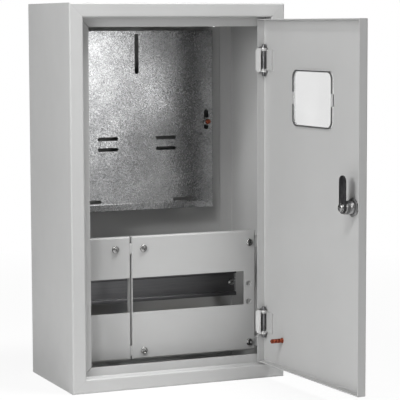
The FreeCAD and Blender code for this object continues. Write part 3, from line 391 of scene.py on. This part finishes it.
SHARP_ANGLE = 35.0
BEVEL_ANGLE = 30.0


def new_piece(name, source):
    """Object with the mesh of a bmesh, which is freed."""
    mesh = bpy.data.meshes.new(name)
    source.to_mesh(mesh)
    source.free()
    piece = bpy.data.objects.new(name, mesh)
    bpy.context.scene.collection.objects.link(piece)
    return piece


def outward(made):
    bmesh.ops.recalc_face_normals(made, faces=made.faces)
    return made


def circle(made, radius, z, steps):
    """Corners round Z, or a single one where the radius is nought."""
    if radius == 0:
        return [made.verts.new((0, 0, z))]
    angles = [2 * pi * k / steps for k in range(steps)]
    return [made.verts.new((radius * cos(angle), radius * sin(angle), z)) for angle in angles]


def band(made, low, high, steps):
    """Faces between two circles, either of which may be a single corner."""
    for k in range(steps):
        following = (k + 1) % steps
        corners = [low[k % len(low)], low[following % len(low)],
                   high[following % len(high)], high[k % len(high)]]
        made.faces.new(list(dict.fromkeys(corners)))


def turned(profile, steps):
    """Closed solid of revolution about Z. The profile runs from the axis to the axis, as (radius, z)."""
    made = bmesh.new()
    circles = [circle(made, radius, z, steps) for radius, z in profile]
    for low, high in zip(circles, circles[1:]):
        band(made, low, high, steps)
    return outward(made)


def ring_section(section, steps=48):
    """Closed ring about Z from a closed section of (radius, z) points."""
    made = bmesh.new()
    circles = [circle(made, radius, z, steps) for radius, z in section]
    for low, high in zip(circles, circles[1:] + circles[:1]):
        band(made, low, high, steps)
    return outward(made)


def rectangle(half_length, half_width):
    return [(-half_length, -half_width), (half_length, -half_width),
            (half_length, half_width), (-half_length, half_width)]


def tapered(lower, upper, low, high):
    """Closed block between an outline of (x, y) points at one height and a like outline at another."""
    made = bmesh.new()
    bottom = [made.verts.new((x, y, low)) for x, y in lower]
    top = [made.verts.new((x, y, high)) for x, y in upper]
    for k in range(len(bottom)):
        following = (k + 1) % len(bottom)
        made.faces.new((bottom[k], bottom[following], top[following], top[k]))
    made.faces.new(bottom[::-1])
    made.faces.new(top)
    return outward(made)


def extruded(outline, low, high):
    return tapered(outline, outline, low, high)


def apply_modifiers(piece):
    graph = bpy.context.evaluated_depsgraph_get()
    graph.update()
    mesh = bpy.data.meshes.new_from_object(piece.evaluated_get(graph))
    piece.modifiers.clear()
    piece.data = mesh
    return piece


def combined(piece, tool, operation):
    """Cuts or trims a piece with a tool, which is used up."""
    change = piece.modifiers.new("shape", "BOOLEAN")
    change.operation = operation
    change.solver = "EXACT"
    change.object = tool
    apply_modifiers(piece)
    bpy.data.objects.remove(tool)
    return piece


def rounded(piece, width):
    """Bevels the edges where faces meet at more than BEVEL_ANGLE."""
    soft = piece.modifiers.new("edges", "BEVEL")
    soft.width = width
    soft.segments = 2
    soft.limit_method = "ANGLE"
    soft.angle_limit = radians(BEVEL_ANGLE)
    return apply_modifiers(piece)


def shaded(piece):
    """Smooth shading with sharp edges where faces meet at more than SHARP_ANGLE."""
    piece.data.polygons.foreach_set("use_smooth", [True] * len(piece.data.polygons))
    source = bmesh.new()
    source.from_mesh(piece.data)
    for edge in source.edges:
        edge.smooth = len(edge.link_faces) == 2 and edge.calc_face_angle(0.0) < radians(SHARP_ANGLE)
    source.to_mesh(piece.data)
    source.free()
    return piece


def placed(piece, matrix):
    piece.data.transform(matrix)
    return piece


def dressed(piece, finish, body, nodes=()):
    """Gives a finished piece its material, its body and the nodes that it stands for."""
    piece.data.materials.clear()
    piece.data.materials.append(FINISHES[finish])
    shaded(piece)
    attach(piece, body)
    if nodes:
        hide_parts(*nodes)
    return piece


# Geometry node trees

def new_tree(name, sizes):
    """Tree with a geometry input and output and named size inputs."""
    tree = bpy.data.node_groups.new(name, "GeometryNodeTree")
    tree.interface.new_socket("Geometry", in_out="INPUT", socket_type="NodeSocketGeometry")
    for label, kind, value in sizes:
        socket = tree.interface.new_socket(label, in_out="INPUT", socket_type=kind)
        if value is not None:
            socket.default_value = value
    tree.interface.new_socket("Geometry", in_out="OUTPUT", socket_type="NodeSocketGeometry")
    return tree, node(tree, "NodeGroupInput"), node(tree, "NodeGroupOutput")


def tree_end(tree, shape, source, target):
    """Realize Instances and Set Material, which end every tree."""
    real = node(tree, "GeometryNodeRealizeInstances")
    feed(tree, real.inputs[0], shape)
    painted = node(tree, "GeometryNodeSetMaterial")
    feed(tree, painted.inputs["Geometry"], real.outputs[0])
    feed(tree, painted.inputs["Material"], source.outputs["Finish"])
    feed(tree, target.inputs[0], painted.outputs[0])


def run_tree(piece, tree, values):
    """Runs a tree on a piece with named input values, and keeps the plain mesh."""
    change = piece.modifiers.new("repeat", "NODES")
    change.node_group = tree
    names = {item.name: item.identifier for item in tree.interface.items_tree if item.in_out == "INPUT"}
    for label, value in values.items():
        change[names[label]] = value
    piece.update_tag()
    return apply_modifiers(piece)


def thread_tree():
    """Helical ridge of a thread around Z, joined to the shank that comes in."""
    tree, source, target = new_tree("screw_thread", [
        ("Radius", "NodeSocketFloat", STUD_RADIUS), ("Pitch", "NodeSocketFloat", STUD_PITCH),
        ("Length", "NodeSocketFloat", 10.0 * MM), ("Depth", "NodeSocketFloat", THREAD_DEPTH),
        ("Finish", "NodeSocketMaterial", None)])
    turns = maths(tree, "DIVIDE", source.outputs["Length"], source.outputs["Pitch"])
    core = maths(tree, "SUBTRACT", source.outputs["Radius"], source.outputs["Depth"])
    helix = node(tree, "GeometryNodeCurveSpiral")
    helix.inputs["Resolution"].default_value = 20
    feed(tree, helix.inputs["Rotations"], turns)
    feed(tree, helix.inputs["Start Radius"], core)
    feed(tree, helix.inputs["End Radius"], core)
    feed(tree, helix.inputs["Height"], source.outputs["Length"])
    ridge = node(tree, "GeometryNodeCurvePrimitiveCircle")
    ridge.inputs["Resolution"].default_value = 3
    feed(tree, ridge.inputs["Radius"], source.outputs["Depth"])
    sweep = node(tree, "GeometryNodeCurveToMesh")
    feed(tree, sweep.inputs["Curve"], helix.outputs[0])
    feed(tree, sweep.inputs["Profile Curve"], ridge.outputs[0])
    sweep.inputs["Fill Caps"].default_value = True
    both = node(tree, "GeometryNodeJoinGeometry")
    tree.links.new(sweep.outputs[0], both.inputs[0])
    tree.links.new(source.outputs["Geometry"], both.inputs[0])
    tree_end(tree, both.outputs[0], source, target)
    return tree


def repeat_tree():
    """Copies of one fastener on the points that come in, each turned about its own axis by chance."""
    tree, source, target = new_tree("fasteners_on_points", [
        ("Fastener", "NodeSocketObject", None), ("Direction", "NodeSocketVector", (0, -1, 0)),
        ("Turn", "NodeSocketFloat", pi), ("Seed", "NodeSocketInt", 7),
        ("Finish", "NodeSocketMaterial", None)])
    item = node(tree, "GeometryNodeObjectInfo")
    feed(tree, item.inputs["Object"], source.outputs["Fastener"])
    chance = node(tree, "FunctionNodeRandomValue", data_type="FLOAT")
    feed(tree, chance.inputs[3], source.outputs["Turn"])
    feed(tree, chance.inputs["Seed"], source.outputs["Seed"])
    spin = node(tree, "FunctionNodeAxisAngleToRotation")
    feed(tree, spin.inputs["Angle"], chance.outputs[1])
    align = node(tree, "FunctionNodeAlignRotationToVector", axis="Z")
    feed(tree, align.inputs["Vector"], source.outputs["Direction"])
    turn = node(tree, "FunctionNodeRotateRotation", rotation_space="LOCAL")
    feed(tree, turn.inputs[0], align.outputs[0])
    feed(tree, turn.inputs[1], spin.outputs[0])
    copies = node(tree, "GeometryNodeInstanceOnPoints")
    feed(tree, copies.inputs["Points"], source.outputs["Geometry"])
    feed(tree, copies.inputs["Instance"], item.outputs["Geometry"])
    feed(tree, copies.inputs["Rotation"], turn.outputs[0])
    tree_end(tree, copies.outputs[0], source, target)
    return tree


THREAD_TREE = thread_tree()
REPEAT_TREE = repeat_tree()


# Fasteners, each made once around Z with its seat on Z = 0 and its head above

def pan_profile():
    """Half section of a pan-head screw as (radius, z), with a dome a little slimmer than an ellipse."""
    tip = 0.6 * MM
    edge = 0.15 * MM
    slimmer = 0.5 * MM
    rim = SCREW_HEAD_HEIGHT * 0.42
    dome = SCREW_HEAD_HEIGHT - rim
    steps = 7
    profile = [(0, -SCREW_LENGTH), (SCREW_RADIUS - tip, -SCREW_LENGTH), (SCREW_RADIUS, tip - SCREW_LENGTH),
               (SCREW_RADIUS, 0), (SCREW_HEAD_RADIUS - edge, 0), (SCREW_HEAD_RADIUS, edge),
               (SCREW_HEAD_RADIUS, rim)]
    for k in range(1, steps):
        angle = k * pi / 2 / steps
        radius = (SCREW_HEAD_RADIUS - slimmer) * cos(angle) + slimmer * cos(angle) ** 3
        profile.append((radius, rim + dome * sin(angle)))
    return profile + [(0, SCREW_HEAD_HEIGHT)]


def pan_screw():
    """Pan head with a tapered cross recess, and a plain shank below."""
    screw = new_piece("pan_screw", turned(pan_profile(), 40))
    depth = 2.0 * MM
    above = 0.1 * MM
    half = 0.62 * MM
    mouth = rectangle(2.7 * MM, half)
    foot = rectangle(0.9 * MM, half * 0.6)
    for turn in (0, pi / 2):
        arm = tapered(foot, mouth, SCREW_HEAD_HEIGHT - depth, SCREW_HEAD_HEIGHT + above)
        combined(screw, placed(new_piece("recess", arm), Matrix.Rotation(turn, 4, "Z")), "DIFFERENCE")
    return shaded(screw)


def hex_nut(flats, height, hole):
    """Hexagon nut with both faces chamfered and a countersunk hole."""
    corner = flats / sqrt(3)
    outline = [(corner * cos(k * pi / 3), corner * sin(k * pi / 3)) for k in range(6)]
    nut = new_piece("hex_nut", extruded(outline, 0, height))
    face = flats / 2 * 0.96
    reach = corner * 1.02
    rise = (corner - flats / 2) * tan(radians(30)) * 1.3
    double_cone = [(0, 0), (face, 0), (reach, rise), (reach, height - rise), (face, height), (0, height)]
    combined(nut, new_piece("chamfer", turned(double_cone, 64)), "INTERSECT")
    sink = 0.5 * MM
    bore = [(0, -sink), (hole + 2 * sink, -sink), (hole, sink),
            (hole, height - sink), (hole + 2 * sink, height + sink), (0, height + sink)]
    combined(nut, new_piece("bore", turned(bore, 40)), "DIFFERENCE")
    return shaded(nut)


def flat_washer(outer, hole, thickness):
    edge = thickness * 0.25
    section = [(hole, 0), (outer - edge, 0), (outer, edge),
               (outer, thickness - edge), (outer - edge, thickness), (hole, thickness)]
    return shaded(new_piece("washer", ring_section(section)))


def threaded_stud(length):
    """Copper-plated weld stud: a flanged base on Z = 0, a plain neck and a thread up to a bevelled tip."""
    core = STUD_RADIUS - THREAD_DEPTH
    neck = STUD_BASE_HEIGHT + 1.2 * MM
    shoulder = 0.4 * MM
    edge = 0.3 * MM
    bevel, bevel_height = 0.5 * MM, 0.6 * MM
    run_out = 1.0 * MM
    profile = [(0, 0), (STUD_BASE_RADIUS, 0), (STUD_BASE_RADIUS, STUD_BASE_HEIGHT * 0.6),
               (STUD_BASE_RADIUS - edge, STUD_BASE_HEIGHT), (STUD_RADIUS, STUD_BASE_HEIGHT),
               (STUD_RADIUS, neck), (core, neck + shoulder), (core, length - bevel_height),
               (core - bevel, length), (0, length)]
    stud = new_piece("threaded_stud", turned(profile, 32))
    placed(stud, Matrix.Translation((0, 0, -neck)))
    run_tree(stud, THREAD_TREE, {"Length": length - neck - run_out, "Finish": FINISHES["copper_plate"]})
    return placed(stud, Matrix.Translation((0, 0, neck)))


def wire_screw():
    """Cheese-head terminal screw with a straight slot."""
    edge = 0.3 * MM
    slot_half = 0.35 * MM
    slot_foot = WIRE_SCREW_HEAD * 0.45
    profile = [(0, -WIRE_SHANK_LENGTH), (WIRE_SHANK_RADIUS, -WIRE_SHANK_LENGTH), (WIRE_SHANK_RADIUS, 0),
               (WIRE_SCREW_RADIUS, 0), (WIRE_SCREW_RADIUS, WIRE_SCREW_HEAD - edge),
               (WIRE_SCREW_RADIUS - edge, WIRE_SCREW_HEAD), (0, WIRE_SCREW_HEAD)]
    screw = new_piece("wire_screw", turned(profile, 32))
    slot = extruded(rectangle(WIRE_SCREW_RADIUS * 1.2, slot_half), slot_foot, WIRE_SCREW_HEAD * 1.5)
    combined(screw, new_piece("slot", slot), "DIFFERENCE")
    return shaded(screw)


def repeated(name, fastener, places, direction, finish, body, nodes=(), turn=pi, seed=7):
    """One piece made of copies of a fastener at places, its Z axis along a direction."""
    source = bmesh.new()
    for place in places:
        source.verts.new(place)
    piece = new_piece(name, source)
    run_tree(piece, REPEAT_TREE, {"Fastener": fastener, "Direction": direction, "Turn": turn, "Seed": seed,
                                  "Finish": FINISHES[finish]})
    bpy.data.objects.remove(fastener)
    return dressed(piece, finish, body, nodes)


# Seats of the fasteners, from the solids of the CAD nodes

SAME_POINT = 0.001 * MM
FORWARD = Vector((0, -1, 0))


def solids(name):
    """Lowest and highest corner of each solid of a CAD node, always in the same order, from left to right."""
    work = bmesh.new()
    work.from_mesh(frame["nodes"][name].data)
    bmesh.ops.remove_doubles(work, verts=work.verts, dist=SAME_POINT)
    waiting, found = set(work.verts), []
    while waiting:
        island, front = set(), [waiting.pop()]
        while front:
            corner = front.pop()
            island.add(corner.co.copy().freeze())
            for edge in corner.link_edges:
                other = edge.other_vert(corner)
                if other in waiting:
                    waiting.remove(other)
                    front.append(other)
        found.append((Vector([min(c[k] for c in island) for k in range(3)]),
                      Vector([max(c[k] for c in island) for k in range(3)])))
    work.free()
    return sorted(found, key=lambda box: tuple(box[0]))


def box_seats(boxes, offset):
    """Seat of each forward-facing fastener: the middle of its box, offset from its front end."""
    return [Vector(((low.x + high.x) / 2, low.y + offset, (low.z + high.z) / 2)) for low, high in boxes]


def seats(name, offset):
    return box_seats(solids(name), offset)


def door_place(x, y, z):
    """Place in the open door of a point given on the closed door."""
    swing = Matrix.Rotation(radians(DOOR_ANGLE), 4, "Z")
    return Matrix.Translation(PIVOT) @ swing @ Matrix.Translation(-PIVOT) @ Vector((x, y, z))


# Screws of the covers and of the rail
repeated("cover_screw_set", pan_screw(), seats("cover_screws", SCREW_HEAD_HEIGHT), FORWARD,
         "zinc_plate", "case", ["cover_screws"])
repeated("rail_screw_set", pan_screw(), seats("rail_screws", SCREW_HEAD_HEIGHT), FORWARD,
         "zinc_plate", "case", ["rail_screws"], seed=3)

# Studs, washers and nuts of the meter plate
PLATE_STUD_LENGTH = 26.0 * MM
repeated("plate_stud_set", threaded_stud(PLATE_STUD_LENGTH), seats("plate_studs", PLATE_STUD_LENGTH), FORWARD,
         "copper_plate", "case", ["plate_studs"])
repeated("plate_washer_set", flat_washer(WASHER_RADIUS, STUD_HOLE, WASHER_THICKNESS),
         seats("plate_washers", WASHER_THICKNESS), FORWARD, "zinc_plate", "case", ["plate_washers"])
repeated("plate_nut_set", hex_nut(NUT_FLATS, NUT_HEIGHT, STUD_HOLE), seats("plate_nuts", NUT_HEIGHT), FORWARD,
         "zinc_plate", "case", ["plate_nuts"], turn=pi / 3)

# Earth stud of the case with its washers and nuts, which touch and so come as one box
CASE_STUD_LENGTH = 22.0 * MM
repeated("case_earth_thread", threaded_stud(CASE_STUD_LENGTH), seats("case_earth_stud", CASE_STUD_LENGTH),
         FORWARD, "copper_plate", "case", ["case_earth_stud"])
stack_front, stack_rear = solids("case_earth_nuts")[0]
stack_middle = (stack_front + stack_rear) / 2
washer_seats = [Vector((stack_middle.x, stack_rear.y - k * (WASHER_THICKNESS + NUT_HEIGHT), stack_middle.z))
                for k in range(2)]
nut_seats = [seat + WASHER_THICKNESS * FORWARD for seat in washer_seats]
repeated("case_earth_nut_set", hex_nut(NUT_FLATS, NUT_HEIGHT, STUD_HOLE), nut_seats, FORWARD,
         "zinc_plate", "case", ["case_earth_nuts"], turn=pi / 3)
repeated("case_earth_washer_set", flat_washer(WASHER_RADIUS, STUD_HOLE, WASHER_THICKNESS), washer_seats,
         FORWARD, "zinc_plate", "case")

# Screws of the two terminal bars, of which the fixing screws are the wide ones
FIXING_WIDTH = 8.0 * MM
for bar in ("neutral", "earth"):
    boxes = solids(bar + "_bar_screws")
    wire_boxes = [box for box in boxes if box[1].x - box[0].x < FIXING_WIDTH]
    fixing_boxes = [box for box in boxes if box[1].x - box[0].x >= FIXING_WIDTH]
    repeated(bar + "_wire_screw_set", wire_screw(), box_seats(wire_boxes, WIRE_SCREW_HEAD), FORWARD,
             "zinc_plate", "case", [bar + "_bar_screws"])
    repeated(bar + "_fixing_screw_set", pan_screw(), box_seats(fixing_boxes, SCREW_HEAD_HEIGHT), FORWARD,
             "zinc_plate", "case", seed=11)

# Earth stud of the door
DOOR_STUD_LENGTH = 17.0 * MM
DOOR_STUD_X = 79.0 * MM
DOOR_STUD_Z = -193.5 * MM
repeated("door_earth_thread", threaded_stud(DOOR_STUD_LENGTH),
         [door_place(DOOR_STUD_X, DOOR_SKIN, DOOR_STUD_Z)], DOOR_INWARD,
         "copper_plate", "door", ["door_earth_stud"])


# Lock: body with its thread, washer, nut, and the cam with its screw

LOCK_X = -100.5 * MM
LOCK_HOLE = 8.5 * MM
LOCK_FLANGE_RADIUS = 11.0 * MM
LOCK_FLANGE_DEPTH = 2.5 * MM
BARREL_RADIUS = 8.4 * MM
BARREL_BORE = 6.08 * MM
BARREL_NECK = 2.0 * MM
BARREL_REAR = 15.8 * MM
LOCK_WASHER_RADIUS = 10.6 * MM
LOCK_WASHER_THICKNESS = 1.0 * MM
LOCK_NUT_FLATS = 21.0 * MM
LOCK_NUT_HEIGHT = 3.0 * MM
CAM_FRONT = -153.4 * MM
CAM_THICKNESS = 2.0 * MM
CAM_WIDTH = 14.5 * MM
CAM_LENGTH = 39.5 * MM
CAM_HOLE_HALF = 3.6 * MM
CAM_EDGE = 0.35 * MM


def lock_spot(y):
    return door_place(LOCK_X, y, 0)


def lock_barrel():
    """Flanged barrel around Z with the door's outer skin on Z = 0, bored for the core, threaded behind."""
    edge = 0.8 * MM
    shoulder = 0.4 * MM
    chamfer = 0.5 * MM
    run_out = 0.6 * MM
    core = BARREL_RADIUS - chamfer
    section = [(BARREL_BORE, -LOCK_FLANGE_DEPTH), (LOCK_FLANGE_RADIUS - edge, -LOCK_FLANGE_DEPTH),
               (LOCK_FLANGE_RADIUS, edge - LOCK_FLANGE_DEPTH), (LOCK_FLANGE_RADIUS, 0), (BARREL_RADIUS, 0),
               (BARREL_RADIUS, BARREL_NECK), (core, BARREL_NECK + shoulder), (core, BARREL_REAR - chamfer),
               (core - chamfer, BARREL_REAR), (BARREL_BORE, BARREL_REAR)]
    barrel = new_piece("lock_barrel", ring_section(section, 64))
    thread_start, thread_end = BARREL_NECK + run_out, BARREL_REAR - run_out
    placed(barrel, Matrix.Translation((0, 0, -thread_start)))
    run_tree(barrel, THREAD_TREE, {"Radius": BARREL_RADIUS, "Length": thread_end - thread_start,
                                   "Finish": FINISHES["lock_casting"]})
    return placed(barrel, Matrix.Translation((0, 0, thread_start)))


def cam_blade():
    """Flat arm around Z with its length along Y, rounded ends and edges, and a square hole."""
    half = CAM_WIDTH / 2
    reach = CAM_LENGTH - half
    steps = 20
    arc = [(half * cos(pi * k / steps), half * sin(pi * k / steps)) for k in range(steps + 1)]
    outline = [(x, reach + y) for x, y in arc] + [(-x, -y) for x, y in arc]
    blade = new_piece("cam_blade", extruded(outline, 0, CAM_THICKNESS))
    hole = extruded(rectangle(CAM_HOLE_HALF, CAM_HOLE_HALF), -CAM_THICKNESS / 2, CAM_THICKNESS * 1.5)
    combined(blade, new_piece("square_hole", hole), "DIFFERENCE")
    return rounded(blade, CAM_EDGE)


def on_door(piece, place):
    """Lays a piece made around Z onto the open door: Z points inward and Y points up."""
    up = Vector((0, 0, 1))
    turn = Matrix((up.cross(DOOR_INWARD), up, DOOR_INWARD)).transposed().to_4x4()
    return placed(piece, Matrix.Translation(place) @ turn)


repeated("lock_barrel_piece", lock_barrel(), [lock_spot(FLANGE_FACE)], DOOR_INWARD,
         "lock_casting", "door", ["lock_body"], turn=0.0)
repeated("lock_washer_piece", flat_washer(LOCK_WASHER_RADIUS, LOCK_HOLE, LOCK_WASHER_THICKNESS),
         [lock_spot(DOOR_SKIN)], DOOR_INWARD, "zinc_plate", "door", ["lock_washer"], turn=0.0)
repeated("lock_nut_piece", hex_nut(LOCK_NUT_FLATS, LOCK_NUT_HEIGHT, LOCK_HOLE),
         [lock_spot(DOOR_SKIN + LOCK_WASHER_THICKNESS)], DOOR_INWARD, "lock_casting", "door", ["lock_nut"],
         turn=0.0)
dressed(on_door(cam_blade(), lock_spot(CAM_FRONT)), "dark_cam", "lock_core", ["lock_cam"])
dressed(on_door(flat_washer(WASHER_RADIUS, SCREW_HOLE, WASHER_THICKNESS),
                lock_spot(CAM_FRONT + CAM_THICKNESS)), "zinc_plate", "lock_core", ["cam_washer"])
dressed(on_door(pan_screw(), lock_spot(CAM_FRONT + CAM_THICKNESS + WASHER_THICKNESS)),
        "zinc_plate", "lock_core", ["cam_screw"])

# Finishes of the CAD pieces that show as they are, some of them other than their slot's; the hinge brackets
# take a paler copy of the case's paint as painted light
OWN_FINISHES = {"din_rail": "rolled_zinc", "hinge_pins": "pin_steel",
                "hinge_bracket_upper": "painted_light_bracket_paint", "hinge_bracket_lower": "painted_light_bracket_paint"}
for entry in frame["record"]["subparts"]:
    shown = frame["nodes"][entry["node"]]
    if not shown.hide_render:
        shown.data.materials.clear()
        shown.data.materials.append(FINISHES[OWN_FINISHES.get(entry["node"], entry["material_slot"])])


# Floor, sky and lamps

FLOOR_SIZE = 6.0
FLOOR_GREY = 0.82
FLOOR_GLOW = 0.9
FLOOR_FADE = (0.5, 1.3)
SKY_LIGHT = 0.02
SKY_GLOSS = 0.25
LAMP_AIM = Vector((0, -0.15, 0))
LAMPS = [
    ("near_left", (-0.7, -0.6, 0.6), (0.4, 0.4), 3.0),
    ("far_left", (-1.6, -1.0, 0.4), (0.4, 0.4), 12.5),
    ("high_left", (-1.2, -1.6, 2.2), (0.4, 0.4), 22.0),
    ("above", (0.3, -0.5, 1.6), (0.4, 0.4), 30.0),
    ("mirrored_panel", (0.8, -2.0, 0.35), (1.0, 0.8), 7.0, True),
]


def seen_white(tree):
    """Share of white for a ray: rays of the camera and through glass see the backdrop."""
    rays = node(tree, "ShaderNodeLightPath")
    return maths(tree, "MAXIMUM", rays.outputs["Is Camera Ray"], rays.outputs["Is Transmission Ray"])


def mixed(tree, share, first, second):
    """Mix of two shaders, with the share of the second."""
    mixer = node(tree, "ShaderNodeMixShader")
    feed(tree, mixer.inputs[0], share)
    tree.links.new(first, mixer.inputs[1])
    tree.links.new(second, mixer.inputs[2])
    return mixer.outputs[0]


def floor():
    """Plain pale floor with the box's shadow on it. It fades into the white backdrop away from the box."""
    source = bmesh.new()
    bmesh.ops.create_grid(source, x_segments=1, y_segments=1, size=FLOOR_SIZE)
    ground = placed(new_piece("floor", source), Matrix.Translation((0, 0, cad_box[0][2])))
    paint, tree, shader, place = new_finish("pale_floor")
    shader.inputs["Base Color"].default_value = (FLOOR_GREY, FLOOR_GREY, FLOOR_GREY, 1)
    shader.inputs["Roughness"].default_value = 0.9
    shader.inputs["Specular IOR Level"].default_value = 0.0
    glow = node(tree, "ShaderNodeEmission")
    fade = spread(tree, vector_maths(tree, "LENGTH", place), FLOOR_GLOW, 1.0, *FLOOR_FADE)
    surface = mixed(tree, maths(tree, "MULTIPLY", seen_white(tree), fade), shader.outputs[0], glow.outputs[0])
    tree.links.new(surface, tree.nodes["Material Output"].inputs["Surface"])
    ground.data.materials.append(paint)


def grey_room(tree, level):
    room = node(tree, "ShaderNodeBackground")
    room.inputs["Color"].default_value = (level, level, level, 1)
    return room.outputs[0]


def sky():
    """White to the camera and to glass, and a dimmer grey room as light and in reflections."""
    world = bpy.data.worlds.new("studio")
    world.use_nodes = True
    tree = world.node_tree
    backdrop = tree.nodes["Background"]
    backdrop.inputs["Color"].default_value = (1, 1, 1, 1)
    glossy = node(tree, "ShaderNodeLightPath").outputs["Is Glossy Ray"]
    room = mixed(tree, glossy, grey_room(tree, SKY_LIGHT), grey_room(tree, SKY_GLOSS))
    surface = mixed(tree, seen_white(tree), room, backdrop.outputs[0])
    tree.links.new(surface, tree.nodes["World Output"].inputs["Surface"])
    bpy.context.scene.world = world


def lamp(name, place, size, power, only_mirrored=False):
    """Soft lamp aimed at the middle of the box. A mirrored one lights no paint and only shows in metal."""
    light = bpy.data.lights.new(name, "AREA")
    light.shape = "RECTANGLE"
    light.size, light.size_y = size
    light.energy = power
    holder = bpy.data.objects.new(name, light)
    holder.location = place
    holder.rotation_euler = (LAMP_AIM - Vector(place)).to_track_quat("-Z", "Y").to_euler()
    holder.visible_diffuse = not only_mirrored
    bpy.context.scene.collection.objects.link(holder)


floor()
sky()
for settings in LAMPS:
    lamp(*settings)


# Camera at the photograph's angle

def camera():
    yaw, pitch = radians(CAMERA_YAW), radians(CAMERA_PITCH)
    forward = Vector((sin(yaw) * cos(pitch), cos(yaw) * cos(pitch), -sin(pitch)))
    right = Vector((cos(yaw), -sin(yaw), 0))
    level = Matrix((right, right.cross(forward), -forward)).transposed().to_4x4()
    roll = Matrix.Rotation(radians(-CAMERA_ROLL), 4, forward)
    view = bpy.data.cameras.new("photograph")
    view.lens = CAMERA_LENS
    view.sensor_width = CAMERA_SENSOR
    view.clip_start = CAMERA_NEAR
    holder = bpy.data.objects.new("photograph", view)
    holder.matrix_world = Matrix.Translation(CAMERA_PLACE) @ roll @ level
    bpy.context.scene.collection.objects.link(holder)
    bpy.context.scene.camera = holder


camera()
bpy.context.scene.view_settings.view_transform = "Standard"
